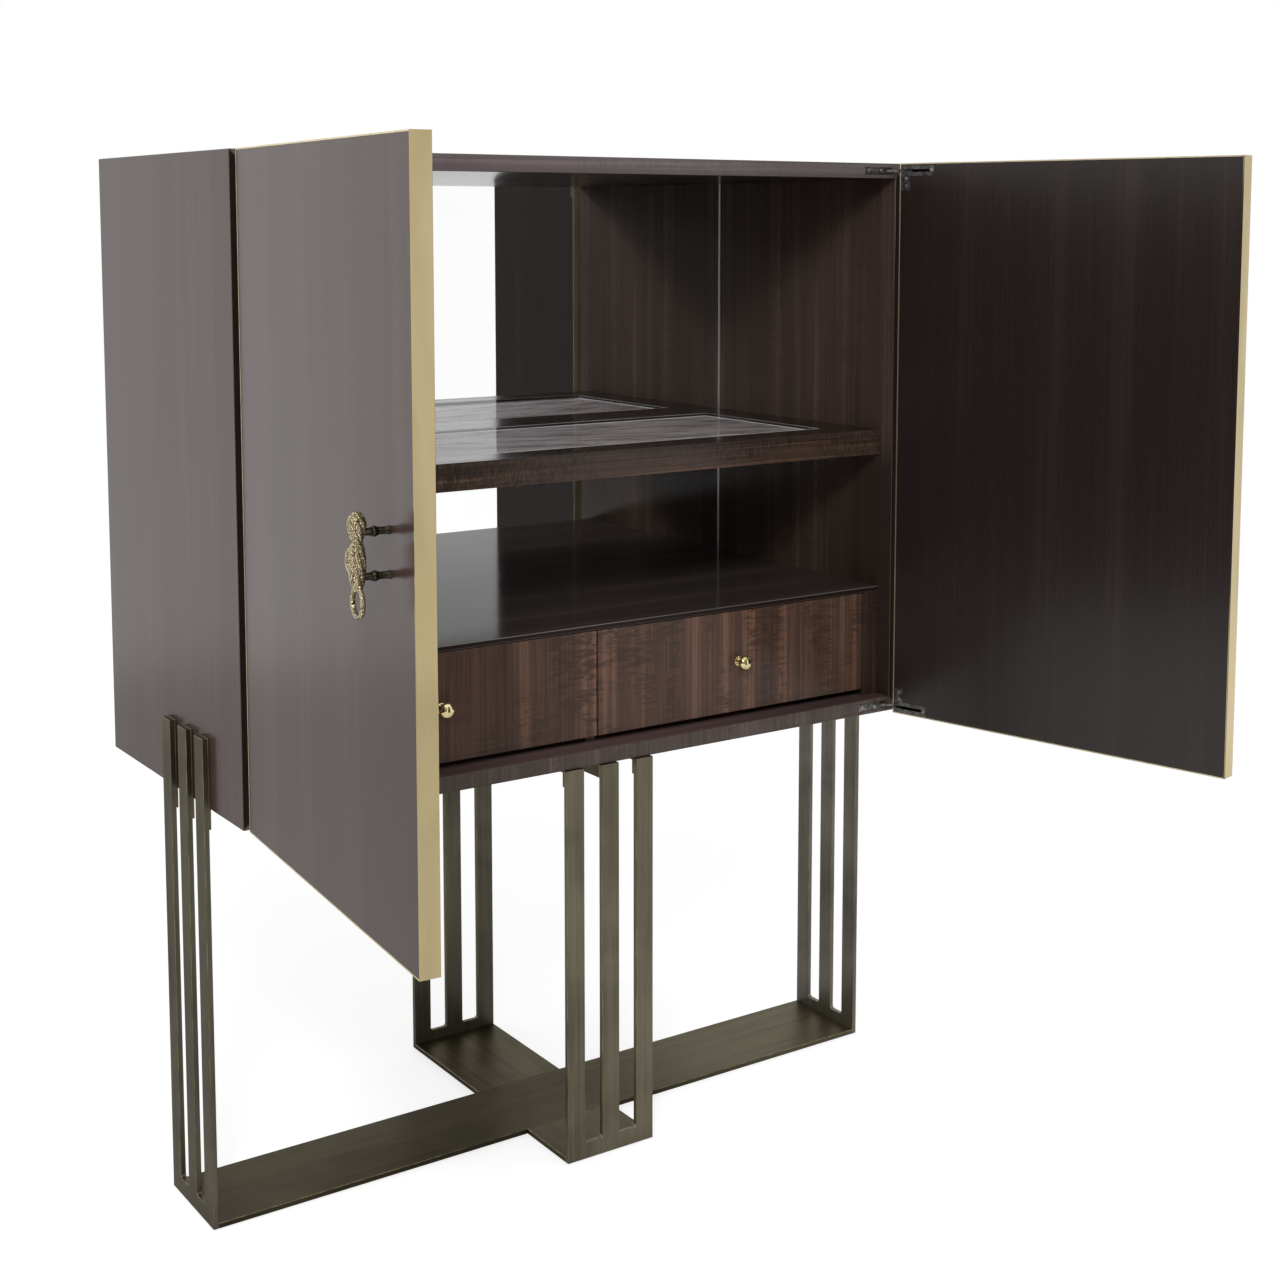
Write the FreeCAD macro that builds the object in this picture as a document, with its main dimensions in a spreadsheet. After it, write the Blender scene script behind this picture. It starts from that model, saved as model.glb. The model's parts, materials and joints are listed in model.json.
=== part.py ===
import FreeCAD, Part
import math
import os
import Sketcher

# Cabinet on a metal stand: a veneered case with two doors, a shelf and two drawers.
# Millimetres. X to the right, Y to the back, Z up. The origin is on the floor, at the
# crossing of the two base bars. The doors stand open, at the angles given below.

doc = FreeCAD.newDocument("CabinetOnStand")
sheet = doc.addObject("Spreadsheet::Sheet", "Sizes")

sizes = (
    # case
    ("case_width", 1200),
    ("case_depth", 520),
    ("case_height", 930),
    ("panel_thickness", 25),
    ("back_space", 30),
    ("mirror_thickness", 5),
    ("back_thickness", 16),
    ("back_groove", 8),
    # stand
    ("stand_height", 628),
    ("crossing_depth", 197),
    ("leg_width", 160),
    ("tine_width", 32),
    ("plate_thickness", 8),
    ("slot_floor", 28),
    ("slot_corner", 5),
    ("side_leg_rise", 104),
    ("front_leg_reach", 6),
    ("back_leg_inset", 8),
    ("leg_top_gap", 0.3),
    ("spacer_thickness", 3),
    ("spacer_drop", 29),
    ("clip_thickness", 4),
    ("clip_drop", 26),
    ("clip_reach", 40),
    ("beam_height", 22),
    ("pad_width", 28),
    ("pad_thickness", 2),
    ("pad_inset", 45),
    # shelf, measured from the underside of the case
    ("shelf_top", 482),
    ("shelf_thickness", 42),
    ("fitting_setback", 30),
    ("lipping_depth", 20),
    ("shelf_side_frame", 75),
    ("shelf_front_frame", 70),
    ("shelf_back_frame", 60),
    ("inlay_thickness", 4),
    ("glass_thickness", 6),
    ("glass_play", 0.5),
    # drawer section
    ("deck_top", 212),
    ("deck_thickness", 20),
    ("deck_edge", 8),
    ("packer_width", 34),
    ("divider_thickness", 18),
    ("drawer_front_thickness", 20),
    ("drawer_front_play", 1.5),
    ("drawer_front_lift", 11),
    ("drawer_back_gap", 15),
    ("drawer_wall", 12),
    ("drawer_wall_height", 118),
    ("drawer_wall_lift", 18),
    ("drawer_bottom_thickness", 6),
    ("drawer_bottom_lift", 10),
    # drawer runners
    ("runner_space", 13),
    ("runner_height", 45),
    ("runner_back_gap", 8.5),
    ("runner_wall", 1.5),
    ("runner_play", 0.5),
    # knobs
    ("knob_radius", 10.5),
    ("knob_length", 26.5),
    # doors
    ("door_thickness", 26),
    ("door_gap", 3),
    ("door_meeting_gap", 3),
    ("door_lift", 1),
    ("edge_thickness", 2),
    ("left_door_angle", 95),
    ("right_door_angle", 104),
    # hinges
    ("pin_inset", 10),
    ("pin_cover", 6.5),
    ("pin_radius", 2),
    ("pin_play", 0.05),
    ("arm_eye_radius", 4.5),
    ("arm_thickness", 4),
    ("arm_width", 8),
    ("arm_root", 30),
    ("arm_tail_width", 10),
    ("arm_tail_depth", 12),
    ("arm_play", 0.4),
    ("lug_thickness", 3.2),
    ("lug_half_width", 5),
    ("mortise_play", 0.3),
    ("plate_start", 24),
    ("plate_length", 58),
    ("plate_height", 12),
    ("hinge_plate_thickness", 2.5),
    ("housing_length", 34),
    ("housing_height", 9),
    ("housing_depth", 14),
    ("leaf_start", 4),
    ("leaf_length", 62),
    ("leaf_height", 17),
    ("leaf_leg_width", 16),
    ("leaf_leg_drop", 24),
    ("leaf_slot_length", 54),
    ("mortise_mouth", 5),
    # pulls, measured from the underside of the case
    ("pull_from_edge", 72),
    ("pull_low", 396),
    ("pull_height", 121),
    ("pull_reach", 38),
    ("pull_radius", 10.5),
    ("pull_ring_radius", 19),
    ("pull_ring_hole", 13),
    ("pull_ring_thickness", 7),
    ("post_low", 444),
    ("post_spacing", 50),
    ("post_radius", 4),
    ("post_socket", 8),
    ("collar_radius", 6.2),
    ("collar_height", 5),
    ("collar_place", 16),
    # every cut runs past its piece by this much
    ("overrun", 4),
)

for row, (name, value) in enumerate(sizes, start=1):
    sheet.set(f"A{row}", name)
    sheet.set(f"B{row}", str(value))
    sheet.setAlias(f"B{row}", name)
doc.recompute()

pieces = []


# Building blocks


def named(thing, label):
    thing.Label = label
    pieces.append(thing)
    return thing


def block(name, x, y, z):
    box = doc.addObject("Part::Box", name)
    for side, axis, (low, high) in zip(("Length", "Width", "Height"), "xyz", (x, y, z)):
        box.setExpression(side, f"({high}) - ({low})")
        box.setExpression(f"Placement.Base.{axis}", low)
    return box


def rod(name, radius, start, length, direction):
    turned = doc.addObject("Part::Cylinder", name)
    turned.setExpression("Radius", radius)
    turned.setExpression("Height", length)
    turned.Placement.Rotation = FreeCAD.Rotation(FreeCAD.Vector(0, 0, 1), FreeCAD.Vector(*direction))
    for axis, place in zip("xyz", start):
        turned.setExpression(f"Placement.Base.{axis}", place)
    return turned


def group(name, members):
    compound = doc.addObject("Part::Compound", name)
    compound.Links = members
    return compound


def joined(name, members):
    fuse = doc.addObject("Part::MultiFuse", name)
    fuse.Shapes = members
    return fuse


def cut(name, base, tools):
    result = doc.addObject("Part::Cut", name)
    result.Base = base
    result.Tool = tools[0] if len(tools) == 1 else group(f"{name}_tools", tools)
    return result


def sketch_on(body, plane):
    sketch = body.newObject("Sketcher::SketchObject", f"{body.Name}_outline")
    support = [part for part in body.Origin.OriginFeatures if part.Role == plane][0]
    sketch.AttachmentSupport = [(support, "")]
    sketch.MapMode = "FlatFace"
    return sketch


def pin_corner(sketch, line, across, up):
    drawn = sketch.getPoint(line, 1)
    for kind, value, place in (("DistanceX", drawn.x, across), ("DistanceY", drawn.y, up)):
        index = sketch.addConstraint(Sketcher.Constraint(kind, -1, 1, line, 1, value))
        sketch.setExpression(f"Constraints[{index}]", place)


def outlined(name, plane, outline):
    # A body with a closed outline of straight lines, each corner tied to the sheet.
    body = doc.addObject("PartDesign::Body", name)
    sketch = sketch_on(body, plane)
    turn = 2 * math.pi / len(outline)
    start = [FreeCAD.Vector(math.cos(turn * i), math.sin(turn * i), 0) for i in range(len(outline))]
    for i, corner in enumerate(start):
        sketch.addGeometry(Part.LineSegment(corner, start[(i + 1) % len(start)]))
    for i in range(len(outline)):
        sketch.addConstraint(Sketcher.Constraint("Coincident", i, 2, (i + 1) % len(outline), 1))
    for i, (across, up) in enumerate(outline):
        pin_corner(sketch, i, across, up)
    return body, sketch


def set_down(body, base):
    for axis, place in zip("xyz", base):
        body.setExpression(f"Placement.Base.{axis}", place)
    return body


def plate(name, plane, outline, thickness, base):
    # A flat piece, as thick as it is told.
    body, sketch = outlined(name, plane, outline)
    pad = body.newObject("PartDesign::Pad", f"{name}_pad")
    pad.Profile = sketch
    pad.Reversed = plane == "XZ_Plane"
    pad.setExpression("Length", thickness)
    return set_down(body, base)


def turned(name, plane, outline, base):
    # A turned piece: an outline on one side of the upright axis of its sketch, taken all the way round.
    body, sketch = outlined(name, plane, outline)
    lathe = body.newObject("PartDesign::Revolution", f"{name}_lathe")
    lathe.Profile = sketch
    lathe.ReferenceAxis = (sketch, ["V_Axis"])
    lathe.Angle = 360
    return set_down(body, base)


def mirrored(side, low, high):
    # A stretch along X, given for the right-hand side and turned over for the left.
    return (low, high) if side > 0 else (f"-({high})", f"-({low})")


# Main levels and faces

half = "Sizes.case_width / 2"
inner = "(Sizes.case_width / 2 - Sizes.panel_thickness)"
front = "(-Sizes.crossing_depth)"
back = "(Sizes.case_depth - Sizes.crossing_depth)"
case_low = "Sizes.stand_height"
case_high = "(Sizes.stand_height + Sizes.case_height)"
inside_low = "(Sizes.stand_height + Sizes.panel_thickness)"
inside_high = "(Sizes.stand_height + Sizes.case_height - Sizes.panel_thickness)"
mirror_face = "(Sizes.case_depth - Sizes.back_space - Sizes.crossing_depth)"
back_face = f"({mirror_face} + Sizes.mirror_thickness)"
fitting_front = "(Sizes.fitting_setback - Sizes.crossing_depth)"
deck_high = "(Sizes.stand_height + Sizes.deck_top)"
deck_low = "(Sizes.stand_height + Sizes.deck_top - Sizes.deck_thickness)"
shelf_high = "(Sizes.stand_height + Sizes.shelf_top)"
shelf_low = "(Sizes.stand_height + Sizes.shelf_top - Sizes.shelf_thickness)"
base_high = "(Sizes.pad_thickness + Sizes.plate_thickness)"
leg_half = "Sizes.leg_width / 2"
tine_half = "Sizes.tine_width / 2"
side_leg_face = "(Sizes.case_width / 2 + Sizes.spacer_thickness)"
front_leg_outer = "(-Sizes.crossing_depth - Sizes.front_leg_reach)"
front_leg_inner = "(-Sizes.crossing_depth - Sizes.front_leg_reach + Sizes.plate_thickness)"
back_leg_outer = "(Sizes.case_depth - Sizes.crossing_depth - Sizes.back_leg_inset)"
back_leg_inner = f"({back_leg_outer} - Sizes.plate_thickness)"
side_leg_top = "(Sizes.stand_height + Sizes.side_leg_rise)"
end_leg_top = "(Sizes.stand_height - Sizes.leg_top_gap)"
tine_places = ("-(Sizes.leg_width - Sizes.tine_width) / 2", "0", "(Sizes.leg_width - Sizes.tine_width) / 2")


def tine_span(place):
    return (f"{place} - {tine_half}", f"{place} + {tine_half}")


# Stand


def fork(name, plane, top, base):
    # Three tines that rise from a foot, with rounded corners at the slot floors.
    edge = leg_half
    gap = "(Sizes.leg_width - 3 * Sizes.tine_width) / 4"
    middle = tine_half
    floor = "Sizes.slot_floor - Sizes.pad_thickness"
    outline = [
        (f"-{edge}", "0"),
        (edge, "0"),
        (edge, top),
        (f"{edge} - Sizes.tine_width", top),
        (f"{edge} - Sizes.tine_width", floor),
        (middle, floor),
        (middle, top),
        (f"-{middle}", top),
        (f"-{middle}", floor),
        (f"Sizes.tine_width - {edge}", floor),
        (f"Sizes.tine_width - {edge}", top),
        (f"-{edge}", top),
    ]
    body = plate(name, plane, outline, "Sizes.plate_thickness", base)
    doc.recompute()
    pad = body.Tip
    level = sheet.get("slot_floor") - sheet.get("pad_thickness")
    corners = []
    for i, line in enumerate(pad.Shape.Edges, start=1):
        ends = [vertex.Point for vertex in line.Vertexes]
        flat = all(abs(end.z - level) < sheet.get("pin_play") for end in ends)
        through = abs(line.Length - sheet.get("plate_thickness")) < sheet.get("pin_play")
        if flat and through:
            corners.append(f"Edge{i}")
    fillet = body.newObject("PartDesign::Fillet", f"{name}_fillet")
    fillet.Base = (pad, corners)
    fillet.setExpression("Radius", f"min(Sizes.slot_corner; {gap})")
    return body


side_top = f"{side_leg_top} - Sizes.pad_thickness"
end_top = f"{end_leg_top} - Sizes.pad_thickness"
foot = "Sizes.pad_thickness"
left_place = (f"-{side_leg_face} - Sizes.plate_thickness", "0", foot)
named(fork("leg_left", "YZ_Plane", side_top, left_place), "leg_left")
named(fork("leg_right", "YZ_Plane", side_top, (side_leg_face, "0", foot)), "leg_right")
named(fork("leg_front", "XZ_Plane", end_top, ("0", front_leg_outer, foot)), "leg_front")
named(fork("leg_back", "XZ_Plane", end_top, ("0", back_leg_inner, foot)), "leg_back")

bar_level = (foot, base_high)
named(
    block("base_long_bar", (f"-{side_leg_face}", side_leg_face), (f"-{leg_half}", leg_half), bar_level),
    "base_long_bar",
)
bar_across = (f"-{leg_half}", leg_half)
named(block("base_front_bar", bar_across, (front_leg_inner, f"-{leg_half}"), bar_level), "base_front_bar")
named(block("base_back_bar", bar_across, (leg_half, back_leg_inner), bar_level), "base_back_bar")

spacers = []
for side in (-1, 1):
    for i, place in enumerate(tine_places):
        reach = mirrored(side, half, side_leg_face)
        level = ("Sizes.stand_height - Sizes.spacer_drop", side_leg_top)
        spacers.append(block(f"spacer_{i}", reach, tine_span(place), level))
named(group("leg_spacers", spacers), "leg_spacers")

# The clips are angles: a tab behind an outer tine and a flange under the case.
clips = []
clip_faces = (
    (1, front_leg_inner),
    (-1, back_leg_inner),
)
for turn, face in clip_faces:
    for place in (tine_places[0], tine_places[2]):
        tab_depth = mirrored(turn, f"{turn} * {face}", f"{turn} * {face} + Sizes.clip_thickness")
        tab_level = ("Sizes.stand_height - Sizes.clip_drop", case_low)
        tab = block("clip_tab", tine_span(place), tab_depth, tab_level)
        flange_depth = mirrored(turn, f"{turn} * {face}", f"{turn} * {face} + Sizes.clip_reach")
        flange_level = ("Sizes.stand_height - Sizes.clip_thickness", case_low)
        flange = block("clip_flange", tine_span(place), flange_depth, flange_level)
        clips.append(joined("clip", [tab, flange]))
named(group("leg_clips", clips), "leg_clips")

beam_level = ("Sizes.stand_height - Sizes.beam_height", case_low)
beam = block("under_beam", (f"-{tine_half}", tine_half), (front_leg_inner, back_leg_inner), beam_level)
named(beam, "under_beam")

pad_places = (
    ("0", "0"),
    (f"{side_leg_face} - Sizes.pad_inset", "0"),
    (f"Sizes.pad_inset - {side_leg_face}", "0"),
    ("0", f"{front_leg_inner} + Sizes.pad_inset"),
    ("0", f"{back_leg_inner} - Sizes.pad_inset"),
)
pads = []
for i, (across, deep) in enumerate(pad_places):
    pad_x = (f"{across} - Sizes.pad_width / 2", f"{across} + Sizes.pad_width / 2")
    pad_y = (f"{deep} - Sizes.pad_width / 2", f"{deep} + Sizes.pad_width / 2")
    pads.append(block(f"pad_{i}", pad_x, pad_y, ("0", "Sizes.pad_thickness")))
named(group("floor_pads", pads), "floor_pads")


# Case hinges: plates let into the front edges of the top and bottom, and crank arms

pin_x = "(Sizes.case_width / 2 - Sizes.pin_inset)"
pin_y = "(-Sizes.crossing_depth - Sizes.door_gap - Sizes.door_thickness + Sizes.pin_cover)"
hinge_levels = {
    "bottom": "(Sizes.stand_height + Sizes.panel_thickness / 2)",
    "top": "(Sizes.stand_height + Sizes.case_height - Sizes.panel_thickness / 2)",
}


def around(level, height):
    return (f"{level} - ({height}) / 2", f"{level} + ({height}) / 2")


def from_pin(side, near, far):
    # A stretch along the door, counted from the pin towards the middle of the case.
    return mirrored(side, f"{pin_x} - ({far})", f"{pin_x} - ({near})")


def hinge_plate(side, level, name):
    face = block(
        f"{name}_face",
        from_pin(side, "Sizes.plate_start", "Sizes.plate_start + Sizes.plate_length"),
        (front, f"{front} + Sizes.hinge_plate_thickness"),
        around(level, "Sizes.plate_height"),
    )
    housing = block(
        f"{name}_housing",
        from_pin(side, "Sizes.plate_start", "Sizes.plate_start + Sizes.housing_length"),
        (front, f"{front} + Sizes.hinge_plate_thickness + Sizes.housing_depth"),
        around(level, "Sizes.housing_height"),
    )
    return joined(name, [face, housing])


def arm_tail(side, level, name):
    reach = ("Sizes.arm_root - Sizes.arm_tail_width / 2", "Sizes.arm_root + Sizes.arm_tail_width / 2")
    return block(
        name,
        from_pin(side, *reach),
        (f"{front} - Sizes.arm_play", f"{front} + Sizes.arm_tail_depth"),
        around(level, "Sizes.arm_thickness"),
    )


def arm(side, level, name):
    # A flat lever: an eye on the pin, a slanting bar, and a tail held in the plate.
    run = "(Sizes.door_gap + Sizes.door_thickness - Sizes.pin_cover)"
    slope = f"atan2({run}; Sizes.arm_root)"
    lift = f"Sizes.arm_width / 2 * cos({slope})"
    shift = f"Sizes.arm_width / 2 * sin({slope})"
    root = f"({run} - Sizes.arm_play)"
    reach = f"({root} / tan({slope}))"
    flip = -side
    outline = [
        (f"{flip} * ({shift})", f"-({lift})"),
        (f"{flip} * ({reach} + {shift})", f"{root} - {lift}"),
        (f"{flip} * (Sizes.arm_root + Sizes.arm_tail_width / 2)", root),
        (f"{flip} * (Sizes.arm_root - Sizes.arm_tail_width / 2)", root),
        (f"{flip} * -({shift})", lift),
    ]
    bottom = f"{level} - Sizes.arm_thickness / 2"
    pin = (f"{side} * {pin_x}", pin_y, bottom)
    bar = plate(f"{name}_bar", "XY_Plane", outline, "Sizes.arm_thickness", pin)
    eye = rod(f"{name}_eye", "Sizes.arm_eye_radius", pin, "Sizes.arm_thickness", (0, 0, 1))
    lever = joined(f"{name}_lever", [bar, eye, arm_tail(side, level, f"{name}_tail")])
    bore_start = (pin[0], pin[1], f"{bottom} - Sizes.overrun")
    bore_length = "Sizes.arm_thickness + 2 * Sizes.overrun"
    bore = rod(f"{name}_bore", "Sizes.pin_radius + Sizes.pin_play", bore_start, bore_length, (0, 0, 1))
    return cut(name, lever, [bore])


plates = []
arms = []
panel_mortises = {"bottom": [], "top": []}
for place, level in hinge_levels.items():
    for side in (-1, 1):
        solid = hinge_plate(side, level, f"hinge_plate_solid_{place}")
        socket = arm_tail(side, level, f"arm_socket_{place}")
        plates.append(cut(f"hinge_plate_{place}", solid, [socket]))
        panel_mortises[place].append(hinge_plate(side, level, f"hinge_mortise_{place}"))
        arms.append(arm(side, level, f"hinge_arm_{place}"))
named(group("hinge_plates", plates), "hinge_plates")
named(group("hinge_arms", arms), "hinge_arms")


# Case: four mitred panels, a back panel in grooves, a mirror

depth_span = "Sizes.case_depth"
groove = "Sizes.back_groove"


def back_panel(name):
    return block(
        name,
        (f"-({inner} + {groove})", f"{inner} + {groove}"),
        (back_face, f"{back_face} + Sizes.back_thickness"),
        (f"{inside_low} - {groove}", f"{inside_high} + {groove}"),
    )


named(back_panel("case_back"), "case_back")

panel_base = ("0", front, "0")
bottom_outline = [(f"-{half}", case_low), (half, case_low), (inner, inside_low), (f"-{inner}", inside_low)]
top_outline = [(f"-{inner}", inside_high), (inner, inside_high), (half, case_high), (f"-{half}", case_high)]
left_inner = [(f"-{inner}", inside_low), (f"-{inner}", inside_high)]
left_outline = [(f"-{half}", case_low)] + left_inner + [(f"-{half}", case_high)]
right_outline = [(half, case_low), (half, case_high), (inner, inside_high), (inner, inside_low)]
bottom_blank = plate("bottom_blank", "XZ_Plane", bottom_outline, depth_span, panel_base)
top_blank = plate("top_blank", "XZ_Plane", top_outline, depth_span, panel_base)
left_blank = plate("left_blank", "XZ_Plane", left_outline, depth_span, panel_base)
right_blank = plate("right_blank", "XZ_Plane", right_outline, depth_span, panel_base)
bottom_tools = [back_panel("bottom_groove")] + panel_mortises["bottom"]
named(cut("case_bottom", bottom_blank, bottom_tools), "case_bottom")
top_tools = [back_panel("top_groove")] + panel_mortises["top"]
named(cut("case_top", top_blank, top_tools), "case_top")
named(cut("case_left_side", left_blank, [back_panel("left_groove")]), "case_left_side")
named(cut("case_right_side", right_blank, [back_panel("right_groove")]), "case_right_side")

inside_span = (f"-{inner}", inner)
named(block("back_mirror", inside_span, (mirror_face, back_face), (deck_high, inside_high)), "back_mirror")


# Shelf: a board with a sunk field for the inlay and its glass, and a lipped front

lipping_back = f"({fitting_front} + Sizes.lipping_depth)"
shelf_level = (shelf_low, shelf_high)
field_x = f"({inner} - Sizes.shelf_side_frame)"
field_y = (f"{fitting_front} + Sizes.shelf_front_frame", f"{mirror_face} - Sizes.shelf_back_frame")
field_floor = f"({shelf_high} - Sizes.glass_thickness - Sizes.inlay_thickness)"
inlay_top = f"({shelf_high} - Sizes.glass_thickness)"

shelf_blank = block("shelf_blank", inside_span, (lipping_back, mirror_face), shelf_level)
field_level = (field_floor, f"{shelf_high} + Sizes.overrun")
field = block("shelf_field", (f"-{field_x}", field_x), field_y, field_level)
named(cut("shelf_board", shelf_blank, [field]), "shelf_board")
lipping_end = f"({inner} - Sizes.lipping_depth)"
lipping_depth = (fitting_front, lipping_back)
named(block("shelf_lipping", (f"-{lipping_end}", lipping_end), lipping_depth, shelf_level), "shelf_lipping")
ends = []
for side in (-1, 1):
    ends.append(block("shelf_end", mirrored(side, lipping_end, inner), lipping_depth, shelf_level))
named(group("shelf_end_blocks", ends), "shelf_end_blocks")
named(block("shelf_inlay", (f"-{field_x}", field_x), field_y, (field_floor, inlay_top)), "shelf_inlay")
glass_x = f"({field_x} - Sizes.glass_play)"
glass_y = (f"{field_y[0]} + Sizes.glass_play", f"{field_y[1]} - Sizes.glass_play")
named(block("shelf_glass", (f"-{glass_x}", glass_x), glass_y, (inlay_top, shelf_high)), "shelf_glass")


# Drawer section: a deck with a thin front edge, a packer board at each end, a divider

front_back = f"({fitting_front} + Sizes.drawer_front_thickness)"
lip_low = f"({deck_high} - Sizes.deck_edge)"
deck_blank = block("deck_blank", inside_span, (fitting_front, back_face), (deck_low, deck_high))
rebate = block(
    "deck_rebate",
    inside_span,
    (f"{fitting_front} - Sizes.overrun", front_back),
    (f"{deck_low} - Sizes.overrun", lip_low),
)
named(cut("drawer_deck", deck_blank, [rebate]), "drawer_deck")

packer_outline = [
    (fitting_front, inside_low),
    (back_face, inside_low),
    (back_face, deck_low),
    (front_back, deck_low),
    (front_back, lip_low),
    (fitting_front, lip_low),
]
packer_face = f"({inner} - Sizes.packer_width)"
left_base = (f"-{inner}", "0", "0")
right_base = (packer_face, "0", "0")
named(plate("left_packer", "YZ_Plane", packer_outline, "Sizes.packer_width", left_base), "left_packer")
named(plate("right_packer", "YZ_Plane", packer_outline, "Sizes.packer_width", right_base), "right_packer")
divider_half = "Sizes.divider_thickness / 2"
divider_depth = (f"{front_back} + Sizes.drawer_front_play", back_face)
divider = block("drawer_divider", (f"-{divider_half}", divider_half), divider_depth, (inside_low, deck_low))
named(divider, "drawer_divider")


# Drawers and their runners. Each runner is a fixed rail, a middle member and a drawer member.

wall_low = f"({inside_low} + Sizes.drawer_wall_lift)"
wall_high = f"({wall_low} + Sizes.drawer_wall_height)"
box_back = f"({back_face} - Sizes.drawer_back_gap)"
runner_level = f"({wall_low} + Sizes.drawer_wall_height / 2)"
runner_front = f"({front_back} + Sizes.drawer_front_play)"
runner_depth = (runner_front, f"{box_back} - Sizes.runner_back_gap")
step = "(Sizes.runner_wall + Sizes.runner_play)"


def channel(name, wall, turn, near, far, height):
    # A C-section that opens away from the bay wall: turn is +1 where the drawer lies towards +X.
    start = f"{turn} * ({wall})"
    outer = block(
        f"{name}_stock",
        mirrored(turn, f"{start} + {near}", f"{start} + {far}"),
        runner_depth,
        around(runner_level, height),
    )
    hollow = block(
        f"{name}_hollow",
        mirrored(turn, f"{start} + {near} + Sizes.runner_wall", f"{start} + {far} + Sizes.overrun"),
        (f"{runner_depth[0]} - Sizes.overrun", f"{runner_depth[1]} + Sizes.overrun"),
        around(runner_level, f"{height} - 2 * Sizes.runner_wall"),
    )
    return cut(name, outer, [hollow])


# A turned knob: how far along it each ring lies, and how wide, as shares of its length and radius.
knob_shares = (
    (0, 0.70),
    (0.10, 0.70),
    (0.10, 0.45),
    (0.25, 0.45),
    (0.37, 0.81),
    (0.52, 0.98),
    (0.68, 0.98),
    (0.84, 0.80),
    (0.96, 0.42),
)


def knob(side, name):
    centre = f"{side} * (({divider_half}) + ({packer_face})) / 2"
    height = f"({inside_low} + Sizes.drawer_front_lift + {lip_low} - Sizes.drawer_front_play) / 2"
    outline = [("0", "0")]
    for length_share, radius_share in knob_shares:
        outline.append((f"{radius_share} * Sizes.knob_radius", f"-{length_share} * Sizes.knob_length"))
    outline.append(("0", "-Sizes.knob_length"))
    return turned(name, "XY_Plane", outline, (centre, fitting_front, height))


rails = []
for side, word in ((-1, "left"), (1, "right")):
    # drawer front, between the middle of the case and the packer
    reach = mirrored(side, "Sizes.drawer_front_play", f"{packer_face} - Sizes.drawer_front_play")
    front_level = (f"{inside_low} + Sizes.drawer_front_lift", f"{lip_low} - Sizes.drawer_front_play")
    front_board = block(f"{word}_drawer_front", reach, (fitting_front, front_back), front_level)
    named(front_board, f"{word}_drawer_front")
    # drawer box
    low_side = f"({divider_half} + Sizes.runner_space)"
    high_side = f"({packer_face} - Sizes.runner_space)"
    low_wall = f"({low_side} + Sizes.drawer_wall)"
    high_wall = f"({high_side} - Sizes.drawer_wall)"
    wall_depth = (front_back, box_back)
    walls = []
    for near, far in ((low_side, low_wall), (high_wall, high_side)):
        walls.append(block("drawer_wall", mirrored(side, near, far), wall_depth, (wall_low, wall_high)))
    named(group(f"{word}_drawer_sides", walls), f"{word}_drawer_sides")
    between = mirrored(side, low_wall, high_wall)
    back_depth = (f"{box_back} - Sizes.drawer_wall", box_back)
    floor_low = f"({wall_low} + Sizes.drawer_bottom_lift)"
    floor_high = f"({floor_low} + Sizes.drawer_bottom_thickness)"
    named(block(f"{word}_drawer_back", between, back_depth, (floor_high, wall_high)), f"{word}_drawer_back")
    floor_board = block(f"{word}_drawer_bottom", between, wall_depth, (floor_low, floor_high))
    named(floor_board, f"{word}_drawer_bottom")
    named(knob(side, f"{word}_knob"), f"{word}_knob")
    # runners on both sides of the drawer
    members = []
    slides = []
    bay_walls = ((f"{side} * {divider_half}", side), (f"{side} * {packer_face}", -side))
    for wall, turn in bay_walls:
        full = "Sizes.runner_height"
        middle = f"(Sizes.runner_height - 2 * {step})"
        least = f"(Sizes.runner_height - 4 * {step})"
        lips = "Sizes.runner_space - 2 * Sizes.runner_play"
        rails.append(channel("rail", wall, turn, "0", lips, full))
        slides.append(channel("slide", wall, turn, step, lips, middle))
        bar = mirrored(turn, f"{turn} * ({wall}) + 2 * {step}", f"{turn} * ({wall}) + Sizes.runner_space")
        members.append(block("member", bar, runner_depth, around(runner_level, least)))
    named(group(f"{word}_runner_slides", slides), f"{word}_runner_slides")
    named(group(f"{word}_drawer_members", members), f"{word}_drawer_members")
named(group("runner_rails", rails), "runner_rails")


# Doors, drawn shut about their own pin and then swung open. Along the door, distances
# run from the pin towards the free edge; across it, from the pin towards the case.

door_low = f"({case_low} + Sizes.door_lift)"
inner_face = "(Sizes.door_thickness - Sizes.pin_cover)"
outer_face = "(-Sizes.pin_cover)"
hinge_edge = "(-Sizes.pin_inset)"
free_edge = f"({half} - Sizes.door_meeting_gap / 2 - Sizes.pin_inset)"
through = (outer_face, inner_face)
lug_gap = "(Sizes.arm_thickness + 2 * Sizes.arm_play)"
lug_stack = f"({lug_gap} + 2 * Sizes.lug_thickness)"
lug_back = "(-Sizes.pin_cover + Sizes.edge_thickness)"


def swung(thing, side, label):
    angle = "Sizes.right_door_angle" if side > 0 else "-Sizes.left_door_angle"
    thing.setExpression("Placement.Rotation.Angle", angle)
    thing.setExpression("Placement.Base.x", f"{side} * {pin_x}")
    thing.setExpression("Placement.Base.y", pin_y)
    return named(thing, label)


def along(side, near, far):
    return mirrored(-side, near, far)


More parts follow.
